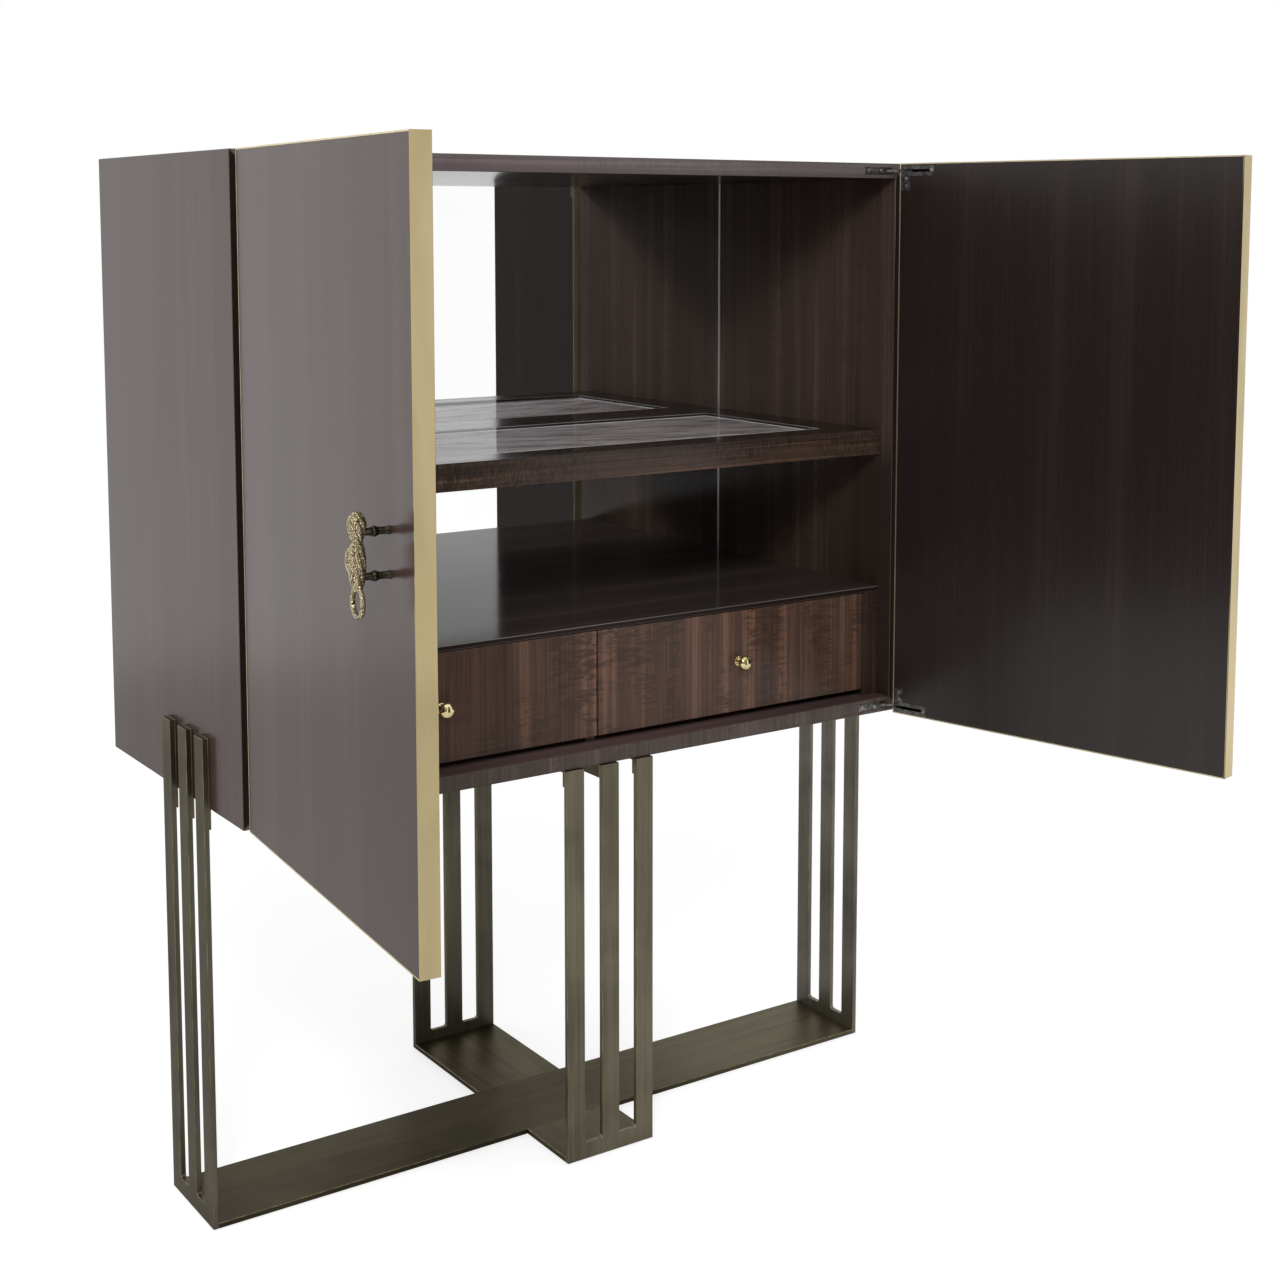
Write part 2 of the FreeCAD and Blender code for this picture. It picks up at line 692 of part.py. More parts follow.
def leaf_parts(side, place, name, play):
    # The L-shaped face of a leaf and its two lugs; play widens the same parts into a mortise.
    level = hinge_levels[place]
    start = f"({hinge_edge} + Sizes.leaf_start)"
    end = f"({start} + Sizes.leaf_length)"
    sheet_depth = (f"{inner_face} - Sizes.hinge_plate_thickness", inner_face)
    face = block(f"{name}_face", along(side, start, end), sheet_depth, around(level, "Sizes.leaf_height"))
    if place == "top":
        leg_level = (f"{level} - Sizes.leaf_height / 2 - Sizes.leaf_leg_drop", level)
    else:
        leg_level = (level, f"{level} + Sizes.leaf_height / 2 + Sizes.leaf_leg_drop")
    leg_reach = along(side, start, f"{start} + Sizes.leaf_leg_width")
    leg = block(f"{name}_leg", leg_reach, sheet_depth, leg_level)
    lug_reach = along(side, "-Sizes.lug_half_width", "Sizes.lug_half_width")
    lug_depth = (f"{lug_back} - {play}", inner_face)
    lug = block(f"{name}_lug", lug_reach, lug_depth, around(level, f"{lug_stack} + 2 * {play}"))
    return [face, leg, lug]


def leaf(side, place, name):
    level = hinge_levels[place]
    solid = joined(f"{name}_solid", leaf_parts(side, place, name, "0"))
    slot_end = f"{hinge_edge} + Sizes.leaf_start + Sizes.leaf_slot_length"
    slot = block(
        f"{name}_slot",
        along(side, f"{hinge_edge} - Sizes.overrun", slot_end),
        (f"{outer_face} - Sizes.overrun", f"{inner_face} + Sizes.overrun"),
        around(level, lug_gap),
    )
    bore_start = ("0", "0", f"{level} - {lug_stack} / 2 - Sizes.overrun")
    bore_length = f"{lug_stack} + 2 * Sizes.overrun"
    bore = rod(f"{name}_bore", "Sizes.pin_radius + Sizes.pin_play", bore_start, bore_length, (0, 0, 1))
    return cut(name, solid, [slot, bore])


def door_mortise(side, place, name):
    # Room in the door for the lugs and for the arm as it folds in.
    level = hinge_levels[place]
    flip = -side
    deep = f"({lug_back} - Sizes.mortise_play)"
    mouth = f"({hinge_edge} + Sizes.leaf_start + Sizes.leaf_slot_length)"
    knee = "(Sizes.lug_half_width + Sizes.mortise_play)"
    edge = f"({hinge_edge} + Sizes.edge_thickness)"
    outline = [
        (f"{flip} * {edge}", deep),
        (f"{flip} * {knee}", deep),
        (f"{flip} * {mouth}", f"{inner_face} - Sizes.mortise_mouth"),
        (f"{flip} * {mouth}", f"{inner_face} + Sizes.overrun"),
        (f"{flip} * {edge}", f"{inner_face} + Sizes.overrun"),
    ]
    height = f"({lug_stack} + 2 * Sizes.mortise_play)"
    wedge = plate(f"{name}_wedge", "XY_Plane", outline, height, ("0", "0", f"{level} - {height} / 2"))
    parts = leaf_parts(side, place, name, "Sizes.mortise_play")
    return joined(name, parts + [wedge])


def edge_notch(side, place, name):
    # The gap in the hinge-edge strip that the arm passes through.
    return block(
        name,
        along(side, f"{hinge_edge} - Sizes.overrun", f"{hinge_edge} + Sizes.edge_thickness"),
        ("0", f"{inner_face} + Sizes.overrun"),
        around(hinge_levels[place], f"{lug_gap} + 2 * Sizes.mortise_play"),
    )


# A cast pull with hammered flats: a swelling stem with a knob on top. Each ring of flats has its
# height and width as shares of the height above the open ring at the foot, and of the stem's radius.
pull_shares = (
    (0, 0.52),
    (0.15, 0.90),
    (0.34, 1),
    (0.52, 0.84),
    (0.63, 0.66),
    (0.72, 0.92),
    (0.84, 1.10),
    (0.94, 0.84),
    (1, 0.40),
)
pull_flats = 8
ring_flats = 12


def flat_ring(name, radius, thickness, centre):
    prism = doc.addObject("Part::Prism", name)
    prism.Polygon = ring_flats
    prism.setExpression("Circumradius", radius)
    prism.setExpression("Height", thickness)
    prism.Placement.Rotation = FreeCAD.Rotation(FreeCAD.Vector(0, 0, 1), FreeCAD.Vector(0, 1, 0))
    start = (centre[0], f"{centre[1]} - ({thickness}) / 2", centre[2])
    return set_down(prism, start)


def pull_body(name, across, deep):
    foot_z = f"({case_low} + Sizes.pull_low)"
    ring_centre = (across, deep, f"{foot_z} + Sizes.pull_ring_radius")
    stem_z = f"({foot_z} + Sizes.pull_ring_radius + Sizes.pull_ring_hole)"
    stem_height = "(Sizes.pull_height - Sizes.pull_ring_radius - Sizes.pull_ring_hole)"
    sections = []
    for height_share, radius_share in pull_shares:
        section = doc.addObject("Part::RegularPolygon", f"{name}_section")
        section.Polygon = pull_flats
        section.setExpression("Circumradius", f"{radius_share} * Sizes.pull_radius")
        sections.append(set_down(section, (across, deep, f"{stem_z} + {height_share} * {stem_height}")))
    stem = doc.addObject("Part::Loft", f"{name}_stem")
    stem.Sections = sections
    stem.Solid = True
    stem.Ruled = True
    disc = flat_ring(f"{name}_disc", "Sizes.pull_ring_radius", "Sizes.pull_ring_thickness", ring_centre)
    through_ring = "Sizes.pull_ring_thickness + 2 * Sizes.overrun"
    hole = flat_ring(f"{name}_hole", "Sizes.pull_ring_hole", through_ring, ring_centre)
    return cut(f"{name}_cast", joined(f"{name}_blank", [disc, stem]), [hole])


def post(name, across, level):
    # A turned post with a collar part way along.
    reach = "Sizes.pull_reach - Sizes.pull_radius + Sizes.post_socket"
    outline = [
        ("0", "0"),
        ("Sizes.post_radius", "0"),
        ("Sizes.post_radius", "-Sizes.collar_place"),
        ("Sizes.collar_radius", "-Sizes.collar_place"),
        ("Sizes.collar_radius", "-Sizes.collar_place - Sizes.collar_height"),
        ("Sizes.post_radius", "-Sizes.collar_place - Sizes.collar_height"),
        ("Sizes.post_radius", f"-({reach})"),
        ("0", f"-({reach})"),
    ]
    return turned(name, "XY_Plane", outline, (across, outer_face, level))


for side, word in ((-1, "left"), (1, "right")):
    core_start = f"({hinge_edge} + Sizes.edge_thickness)"
    core_end = f"({free_edge} - Sizes.edge_thickness)"
    core_level = (f"{door_low} + Sizes.edge_thickness", f"{case_high} - Sizes.edge_thickness")
    core = block(f"{word}_core", along(side, core_start, core_end), through, core_level)
    mortises = [door_mortise(side, place, f"{word}_mortise_{place}") for place in hinge_levels]
    swung(cut(f"{word}_door", core, mortises), side, f"{word}_door")

    full_level = (door_low, case_high)
    free_strip = block(f"{word}_free_strip", along(side, core_end, free_edge), through, full_level)
    swung(group(f"{word}_door_edge", [free_strip]), side, f"{word}_door_edge")
    hinge_blank = block(f"{word}_hinge_strip", along(side, hinge_edge, core_start), through, full_level)
    notches = [edge_notch(side, place, f"{word}_notch_{place}") for place in hinge_levels]
    trim = [cut(f"{word}_hinge_trim", hinge_blank, notches)]
    for low, high in ((door_low, core_level[0]), (core_level[1], case_high)):
        trim.append(block(f"{word}_end_trim", along(side, core_start, core_end), through, (low, high)))
    swung(group(f"{word}_door_trim", trim), side, f"{word}_door_trim")

    leaves = [leaf(side, place, f"{word}_leaf_{place}") for place in hinge_levels]
    swung(group(f"{word}_hinge_leaves", leaves), side, f"{word}_hinge_leaves")
    pins = []
    for place, level in hinge_levels.items():
        start = ("0", "0", f"{level} - {lug_stack} / 2")
        pins.append(rod(f"{word}_pin_{place}", "Sizes.pin_radius", start, lug_stack, (0, 0, 1)))
    swung(group(f"{word}_hinge_pins", pins), side, f"{word}_hinge_pins")

    pull_x = f"{-side} * ({free_edge} - Sizes.pull_from_edge)"
    pull_y = f"({outer_face} - Sizes.pull_reach)"
    post_levels = (f"{case_low} + Sizes.post_low", f"{case_low} + Sizes.post_low + Sizes.post_spacing")
    posts = [post(f"{word}_post_{i}", pull_x, level) for i, level in enumerate(post_levels)]
    sockets = [post(f"{word}_socket_{i}", pull_x, level) for i, level in enumerate(post_levels)]
    swung(cut(f"{word}_pull", pull_body(f"{word}_pull", pull_x, pull_y), sockets), side, f"{word}_pull")
    swung(group(f"{word}_pull_posts", posts), side, f"{word}_pull_posts")


# Check every object, then write one file for each piece

doc.recompute()
for thing in doc.Objects:
    if "Invalid" in thing.State or "Error" in thing.State:
        raise RuntimeError(f"{thing.Label} failed: {thing.State}")
for piece in pieces:
    if piece.Shape.isNull() or not piece.Shape.isValid() or not piece.Shape.Solids:
        raise RuntimeError(f"{piece.Label} has no valid solid")

os.makedirs("parts", exist_ok=True)
for piece in pieces:
    piece.Shape.exportStep(os.path.join("parts", f"{piece.Label}.step"))
print(f"{len(pieces)} pieces written")
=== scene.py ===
import json
from math import cos, radians, sin, sqrt

import bmesh
import bpy
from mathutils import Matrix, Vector

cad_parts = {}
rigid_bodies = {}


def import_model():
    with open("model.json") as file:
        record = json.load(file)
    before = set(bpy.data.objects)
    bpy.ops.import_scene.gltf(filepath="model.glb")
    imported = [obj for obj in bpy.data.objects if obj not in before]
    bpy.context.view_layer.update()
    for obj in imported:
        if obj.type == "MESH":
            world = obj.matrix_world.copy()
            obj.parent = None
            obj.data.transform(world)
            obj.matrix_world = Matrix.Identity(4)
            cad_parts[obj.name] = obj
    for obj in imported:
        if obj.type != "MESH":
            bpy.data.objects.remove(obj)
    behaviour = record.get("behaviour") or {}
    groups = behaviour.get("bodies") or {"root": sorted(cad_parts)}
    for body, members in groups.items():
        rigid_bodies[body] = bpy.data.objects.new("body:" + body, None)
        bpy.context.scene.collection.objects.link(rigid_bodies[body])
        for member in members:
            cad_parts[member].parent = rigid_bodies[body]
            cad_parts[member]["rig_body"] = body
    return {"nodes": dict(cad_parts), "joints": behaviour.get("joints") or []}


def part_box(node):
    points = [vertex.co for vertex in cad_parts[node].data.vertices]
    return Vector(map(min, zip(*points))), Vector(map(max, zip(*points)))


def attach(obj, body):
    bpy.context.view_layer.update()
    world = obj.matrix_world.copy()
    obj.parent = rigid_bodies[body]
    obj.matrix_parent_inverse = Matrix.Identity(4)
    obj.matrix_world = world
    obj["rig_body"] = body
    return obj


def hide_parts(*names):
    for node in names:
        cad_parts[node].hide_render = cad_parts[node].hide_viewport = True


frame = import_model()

for stray in ("Cube", "Light", "Camera"):
    if stray in bpy.data.objects:
        bpy.data.objects.remove(bpy.data.objects[stray])
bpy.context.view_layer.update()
print("frame loaded:", len(frame["nodes"]), "nodes")


# places that the frame gives

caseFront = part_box("case_top")[0].y
shelfLow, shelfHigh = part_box("shelf_board")
mirrorLow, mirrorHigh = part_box("back_mirror")
pullLow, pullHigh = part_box("left_pull")
platesLow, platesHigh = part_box("hinge_plates")

# the frame's doors stand open by the angle, and their joints start there
doors = {}
for word, side in (("left", -1), ("right", 1)):
    hinge = next(joint for joint in frame["joints"] if joint["name"] == f"{word}_door_hinge")
    doors[word] = {"side": side, "pin": Vector(hinge["pos_m"]), "angle": -side * hinge["range_deg"][0]}


# shader maths

class Tone:
    def __init__(self, finish, socket):
        self.finish = finish
        self.socket = socket

    def work(self, operation, first, second):
        return self.finish.node("ShaderNodeMath", {"operation": operation}, {0: first, 1: second})

    def __add__(self, other):
        return self.work("ADD", self, other)

    def __radd__(self, other):
        return self.work("ADD", other, self)

    def __rsub__(self, other):
        return self.work("SUBTRACT", other, self)

    def __mul__(self, other):
        return self.work("MULTIPLY", self, other)

    def __rmul__(self, other):
        return self.work("MULTIPLY", other, self)

    def __pow__(self, other):
        return self.work("POWER", self, other)


class Finish:
    def __init__(self, owner):
        owner.use_nodes = True
        self.owner = owner
        self.tree = owner.node_tree
        self.tree.nodes.clear()

    def node(self, kind, settings=None, sockets=None, out=0):
        made = self.tree.nodes.new(kind)
        for key, value in (settings or {}).items():
            setattr(made, key, value)
        for key, value in (sockets or {}).items():
            if isinstance(value, Tone):
                self.tree.links.new(value.socket, made.inputs[key])
            else:
                made.inputs[key].default_value = value
        return Tone(self, made.outputs[out]) if made.outputs else None

    def place(self):
        return self.node("ShaderNodeTexCoord", out="Object")

    def coordinate(self, letter):
        return self.node("ShaderNodeSeparateXYZ", {}, {0: self.place()}, out=letter)

    def grain(self, place, stretch, detail, rough, twist=0.0):
        spread = self.node("ShaderNodeMapping", {}, {"Vector": place, "Scale": stretch})
        return self.node("ShaderNodeTexNoise", {}, {
            "Vector": spread, "Scale": 1.0, "Detail": detail, "Roughness": rough, "Distortion": twist})

    def step(self, value, low, high):
        return self.node("ShaderNodeMapRange", {"interpolation_type": "SMOOTHSTEP"}, {
            "Value": value, "From Min": low, "From Max": high})

    def blend(self, share, first, second):
        # the factor, the two colours and the result of a colour mix have these numbers
        return self.node("ShaderNodeMix", {"data_type": "RGBA"}, {
            0: share, 6: paint(first), 7: paint(second)}, out=2)

    def relief(self, height, depth, strength):
        return self.node("ShaderNodeBump", {}, {"Height": height, "Distance": depth, "Strength": strength})

    def surface(self, sockets):
        skin = self.node("ShaderNodeBsdfPrincipled", {}, sockets)
        self.node("ShaderNodeOutputMaterial", {}, {"Surface": skin})
        return self.owner


def paint(colour):
    return colour if isinstance(colour, Tone) else (*colour, 1.0)


def newFinish(name):
    return Finish(bpy.data.materials.new(name))


def alongAxis(axis, across, along):
    return tuple(along if letter == axis else across for letter in "xyz")


# finishes: a noise is its scale, detail, roughness and twist, and a span is the part of it that shows

# most inner and front-edge looks below are the cabinet's inner veneer painted lighter or darker, as painted
# light, shade and reflection; innerLevel is its plain tone, and the outer, figured, back and box looks are
# the wood's own tones
veneerLooks = {
    "outerUpright": {"axis": "z", "dark": (0.046, 0.027, 0.022), "mid": (0.066, 0.040, 0.033),
                     "light": (0.082, 0.050, 0.040), "ripple": 0.10, "gloss": 0.20, "sheen": 0.32},
    "outerLevel": {"axis": "x", "dark": (0.042, 0.025, 0.020), "mid": (0.061, 0.037, 0.030),
                   "light": (0.076, 0.047, 0.037), "ripple": 0.10, "gloss": 0.20, "sheen": 0.32},
    # painted light: the case sides' inner faces are painted lighter than the other inner veneer
    "wallUprightPaintedLight": {"axis": "z", "dark": (0.050, 0.033, 0.026), "mid": (0.100, 0.066, 0.053),
                    "light": (0.135, 0.088, 0.067), "ripple": 0.35, "gloss": 0.20, "sheen": 0.10,
                    # painted shade: darker towards the front of the case, and more so below the shelf
                    "paintedFrontShade": {"deep": (0.022, 0.0145, 0.012), "above": 0.35, "below": 0.48,
                                   "depth": (caseFront + 0.007, caseFront + 0.277),
                                   "level": (shelfLow.z - 0.028, shelfLow.z + 0.032)}},
    # painted shade: the doors' inner faces are painted darker than the other inner veneer
    "doorInnerPaintedShade": {"axis": "z", "dark": (0.015, 0.0104, 0.0092), "mid": (0.021, 0.0142, 0.0125),
                  "light": (0.029, 0.0190, 0.0160), "ripple": 0.12, "gloss": 0.20, "sheen": 0.48},
    "innerLevel": {"axis": "x", "dark": (0.011, 0.008, 0.007), "mid": (0.030, 0.019, 0.015),
                   "light": (0.046, 0.029, 0.022), "ripple": 0.12, "gloss": 0.15, "sheen": 0.28},
    # painted reflection: the deck top is painted lighter, standing in for the reflection it shows; its gloss
    # is real
    "deckGlossPaintedReflection": {"axis": "x", "dark": (0.034, 0.026, 0.022), "mid": (0.070, 0.053, 0.046),
                  "light": (0.096, 0.072, 0.061), "ripple": 0.1, "gloss": 0.06, "sheen": 0.04},
    "figuredUpright": {"axis": "z", "dark": (0.043, 0.025, 0.018), "mid": (0.110, 0.060, 0.042),
                       "light": (0.205, 0.108, 0.068), "ripple": 0.74, "gloss": 0.18, "sheen": 0.20},
    "figuredLevel": {"axis": "x", "dark": (0.020, 0.014, 0.012), "mid": (0.084, 0.051, 0.037),
                     "light": (0.240, 0.130, 0.080), "ripple": 0.66, "gloss": 0.18, "sheen": 0.22,
                     "rippleScale": (60, 210), "patchesSpan": (0.30, 0.48)},
    "edgeFigured": {"axis": "z", "dark": (0.018, 0.011, 0.009), "mid": (0.052, 0.030, 0.024),
                    "light": (0.095, 0.055, 0.042), "ripple": 0.5, "gloss": 0.22, "sheen": 0.30},
    # painted reflection: the case top's front edge is painted a paler grey, standing in for the gloss it
    # shows
    "topEdgePaintedReflection": {"axis": "x", "dark": (0.070, 0.054, 0.055), "mid": (0.120, 0.094, 0.095),
                "light": (0.170, 0.136, 0.136), "ripple": 0.3, "gloss": 0.22, "sheen": 0.30},
    # painted reflection: the case bottom's front edge is painted lighter and greyer, standing in for the
    # gloss it shows
    "bottomEdgePaintedReflection": {"axis": "z", "dark": (0.045, 0.032, 0.026), "mid": (0.092, 0.066, 0.055),
                   "light": (0.145, 0.104, 0.086), "ripple": 0.5, "gloss": 0.22, "sheen": 0.30},
    # painted light: the case bottom's inner face is painted much lighter than the other inner veneer
    "bottomInnerPaintedLight": {"axis": "x", "dark": (0.100, 0.064, 0.060), "mid": (0.150, 0.096, 0.090),
                    "light": (0.185, 0.118, 0.108), "ripple": 0.12, "gloss": 0.15, "sheen": 0.28},
    # painted shade: the deck's front face and the case sides' front edges are painted near black
    "deckEdgePaintedShade": {"axis": "x", "dark": (0.008, 0.005, 0.004), "mid": (0.016, 0.010, 0.008),
                 "light": (0.026, 0.016, 0.012), "ripple": 0.1, "gloss": 0.25, "sheen": 0.12},
    "sideEdgePaintedShade": {"axis": "z", "dark": (0.008, 0.005, 0.004), "mid": (0.014, 0.009, 0.008),
                 "light": (0.022, 0.014, 0.012), "ripple": 0.1, "gloss": 0.25, "sheen": 0.10},
    # painted highlight: a pale line painted on the deck's eased front edge
    "arrisPaintedHighlight": {"axis": "x", "dark": (0.110, 0.095, 0.090), "mid": (0.150, 0.132, 0.126),
                     "light": (0.200, 0.180, 0.172), "ripple": 0.1, "gloss": 0.20, "sheen": 0.50},
    "backStain": {"axis": "z", "dark": (0.010, 0.008, 0.007), "mid": (0.024, 0.017, 0.014),
                  "light": (0.040, 0.028, 0.022), "ripple": 0.1, "gloss": 0.42, "sheen": 0.40},
    "boxWood": {"axis": "y", "dark": (0.10, 0.060, 0.036), "mid": (0.17, 0.105, 0.064),
                "light": (0.24, 0.155, 0.095), "ripple": 0.2, "gloss": 0.36, "sheen": 0.40},
}
# scales are across and along the grain; a look may have its own scale or span
veneerGrain = {
    "bands": {"scale": (22, 0.5), "noise": (3, 0.6, 0.2), "span": (0.34, 0.68)},
    "streaks": {"scale": (170, 1.6), "noise": (5, 0.65, 0.15), "span": (0.35, 0.68)},
    "threads": {"scale": (620, 5), "noise": (3, 0.6), "span": (0.50, 0.72)},
    "pores": {"scale": (1500, 26), "noise": (2, 0.5), "span": (0.54, 0.72)},
    "ripple": {"scale": (24, 115), "noise": (2, 0.5, 1.4), "span": (0.44, 0.58)},
    "patches": {"scale": (15, 5), "noise": (2, 0.5, 0.4), "span": (0.42, 0.60)},
}
veneerShares = {"bands": 0.55, "streaks": 0.45, "threads": 0.28, "glow": 0.55, "glowSpan": (0.30, 0.62),
                "pores": 0.4}
lacquer = {"film": ((38, 38, 38), 2, 0.5), "filmHeight": 0.6, "poreHeight": 0.12, "depth": 0.0004,
           "strength": 0.10, "streakGloss": 0.06, "poreGloss": 0.03}


def veneer(name):
    look = veneerLooks[name]
    share = veneerShares
    f = newFinish(name)
    spot = f.place()
    grain, shown = {}, {}
    for layer, kind in veneerGrain.items():
        scale = look.get(f"{layer}Scale", kind["scale"])
        grain[layer] = f.grain(spot, alongAxis(look["axis"], *scale), *kind["noise"])
        shown[layer] = f.step(grain[layer], *look.get(f"{layer}Span", kind["span"]))
    base = shown["bands"] * share["bands"] + shown["streaks"] * share["streaks"]
    body = f.blend(base, look["dark"], look["mid"])
    glow = f.step(shown["bands"] * grain["streaks"], *share["glowSpan"])
    lit = f.blend(shown["threads"] * share["threads"] + glow * share["glow"], body, look["light"])
    figured = f.blend(shown["ripple"] * shown["patches"] * look["ripple"], lit, look["dark"])
    colour = f.blend(shown["pores"] * share["pores"], figured, look["dark"])
    # painted shade: the colour darkens towards the front, and further below the shelf
    if "paintedFrontShade" in look:
        shade = look["paintedFrontShade"]
        inFront = 1 - f.step(f.coordinate("Y"), *shade["depth"])
        below = 1 - f.step(f.coordinate("Z"), *shade["level"])
        colour = f.blend(inFront * (shade["above"] + below * shade["below"]), colour, shade["deep"])
    dullness = grain["streaks"] * lacquer["streakGloss"]
    height = f.grain(spot, *lacquer["film"]) * lacquer["filmHeight"] + shown["pores"] * lacquer["poreHeight"]
    return f.surface({
        "Base Color": colour,
        "Roughness": look["gloss"] + dullness + shown["pores"] * lacquer["poreGloss"],
        "Specular IOR Level": look["sheen"],
        "Normal": f.relief(height, lacquer["depth"], lacquer["strength"]),
    })


# one brushed bronze for the whole stand: the looks differ in brush direction, and their tones are painted
# light and shade; the front and far legs are painted lighter, and the long base bar, the front and back bars,
# the clips and the under beam darker
bronzeLooks = {
    "bronzeFrontPaintedLight": {"axis": "z", "dark": (0.100, 0.087, 0.060), "warm": (0.208, 0.181, 0.125),
                    "pale": (0.285, 0.258, 0.192)},
    "bronzeUpright": {"axis": "z", "dark": (0.068, 0.060, 0.044), "warm": (0.142, 0.125, 0.090),
                      "pale": (0.203, 0.186, 0.139)},
    "bronzeFarPaintedLight": {"axis": "z", "dark": (0.098, 0.090, 0.075), "warm": (0.200, 0.184, 0.152),
                  "pale": (0.270, 0.253, 0.212)},
    "bronzeAcrossPaintedShade": {"axis": "x", "dark": (0.031, 0.026, 0.016), "warm": (0.064, 0.054, 0.033),
                     "pale": (0.092, 0.081, 0.053), "paleTowardsRight": 1.9},
    "bronzeDeepPaintedShade": {"axis": "y", "dark": (0.043, 0.036, 0.023), "warm": (0.090, 0.076, 0.048),
                   "pale": (0.132, 0.116, 0.077)},
}
bronzeSkin = {
    "brush": {"scale": (520, 4), "noise": (5, 0.7), "share": 0.6, "gloss": 0.14},
    "wide": {"scale": (90, 1.6), "noise": (3, 0.6), "share": 0.4},
    "cloud": ((5, 5, 5), 3, 0.6, 0.4), "cloudSpan": (0.3, 0.72), "lineSpan": (0.36, 0.68), "lines": 0.55,
    "rightwardSpan": (0.02, 0.50), "rightPaling": 0.4, "rightLinePaling": 0.4,  # the span runs to the right, in metres
    "tint": (0.74, 0.72, 0.69, 1.0), "gloss": 0.34, "depth": 0.0003, "strength": 0.22,
}


def brushedBronze(name):
    look = bronzeLooks[name]
    skin = bronzeSkin
    f = newFinish(name)
    spot = f.place()
    brush, wide = (
        f.grain(spot, alongAxis(look["axis"], *skin[layer]["scale"]), *skin[layer]["noise"])
        for layer in ("brush", "wide"))
    cloud = f.grain(spot, *skin["cloud"])
    base = f.blend(f.step(cloud, *skin["cloudSpan"]), look["dark"], look["warm"])
    lines = f.step(brush * skin["brush"]["share"] + wide * skin["wide"]["share"], *skin["lineSpan"])
    colour = f.blend(lines * skin["lines"], base, look["pale"])
    # the long bar turns paler towards the right, its brush lines more so
    if "paleTowardsRight" in look:
        rightwards = f.step(f.coordinate("X"), *skin["rightwardSpan"])
        paler = tuple(look["paleTowardsRight"] * level for level in look["pale"])
        colour = f.blend(rightwards * (skin["rightPaling"] + lines * skin["rightLinePaling"]), colour, paler)
    return f.surface({
        "Base Color": colour,
        "Metallic": 1.0,
        "Specular Tint": skin["tint"],
        "Roughness": skin["gloss"] + brush * skin["brush"]["gloss"],
        "Normal": f.relief(brush, skin["depth"], skin["strength"]),
    })


wornLook = {"dull": (0.120, 0.105, 0.070), "rubbed": (0.30, 0.24, 0.13), "rub": ((70, 70, 24), 4, 0.65),
            "rubSpan": (0.38, 0.66), "gloss": 0.24, "rubGloss": 0.12}


def wornEdge(name):
    look = wornLook
    f = newFinish(name)
    rub = f.grain(f.place(), *look["rub"])
    return f.surface({
        "Base Color": f.blend(f.step(rub, *look["rubSpan"]), look["dull"], look["rubbed"]),
        "Metallic": 1.0,
        "Roughness": look["gloss"] + rub * look["rubGloss"],
    })


metalLooks = {
    "edgeBrass": {"dark": (0.44, 0.355, 0.188), "bright": (0.54, 0.440, 0.245), "gloss": 0.07,
                  "stretch": (9, 9, 2.2), "relief": 0.20},
    "trimBrass": {"dark": (0.72, 0.62, 0.41), "bright": (0.82, 0.72, 0.50), "gloss": 0.42,
                  "stretch": (40, 40, 8), "relief": 0.08},
    "knobBrass": {"dark": (0.70, 0.55, 0.26), "bright": (0.93, 0.79, 0.46), "gloss": 0.07,
                  "stretch": (120, 120, 120), "relief": 0.03},
    "postBronze": {"dark": (0.035, 0.030, 0.022), "bright": (0.12, 0.10, 0.07), "gloss": 0.28,
                   "stretch": (260, 260, 260), "relief": 0.1},
    "hingeSteel": {"dark": (0.070, 0.067, 0.064), "bright": (0.230, 0.222, 0.214), "gloss": 0.30,
                   "stretch": (140, 140, 140), "relief": 0.12},
    "screwSteel": {"dark": (0.28, 0.276, 0.265), "bright": (0.58, 0.57, 0.55), "gloss": 0.26,
                   "stretch": (300, 300, 300), "relief": 0.1},
    "runnerZinc": {"dark": (0.42, 0.43, 0.45), "bright": (0.62, 0.63, 0.65), "gloss": 0.34,
                   "stretch": (60, 8, 60), "relief": 0.1},
    "mirrorArris": {"dark": (0.80, 0.84, 0.86), "bright": (0.96, 0.98, 0.98), "gloss": 0.34,
                    "stretch": (80, 80, 12), "relief": 0.05},
}
metalSkin = {"cloud": (4, 0.6, 0.3), "cloudSpan": (0.34, 0.66), "cloudGloss": 0.06, "cloudHeight": 0.7,
             "rub": (2, 0.5), "rubFiner": 7, "rubGloss": 0.04, "rubHeight": 0.3, "depth": 0.0005}


def metal(name):
    look = metalLooks[name]
    skin = metalSkin
    f = newFinish(name)
    spot = f.place()
    cloud = f.grain(spot, look["stretch"], *skin["cloud"])
    rub = f.grain(spot, tuple(skin["rubFiner"] * scale for scale in look["stretch"]), *skin["rub"])
    height = cloud * skin["cloudHeight"] + rub * skin["rubHeight"]
    return f.surface({
        "Base Color": f.blend(f.step(cloud, *skin["cloudSpan"]), look["dark"], look["bright"]),
        "Metallic": 1.0,
        "Roughness": look["gloss"] + cloud * skin["cloudGloss"] + rub * skin["rubGloss"],
        "Normal": f.relief(height, skin["depth"], look["relief"]),
    })


castLook = {
    "recess": (0.095, 0.069, 0.033), "skin": (0.44, 0.345, 0.175), "high": (0.88, 0.77, 0.52),
    "cells": 460.0, "cellSpan": (0.02, 0.22), "cellShare": 0.75,
    "grit": ((900, 900, 900), 3, 0.6), "gritShare": 0.4, "gritHeight": 0.3,
    "maskSpan": (0.25, 0.85), "skinSpan": (0.0, 0.5), "highSpan": (0.5, 1.0),
    "gloss": 0.20, "recessGloss": 0.22, "depth": 0.0006, "strength": 0.8,
}


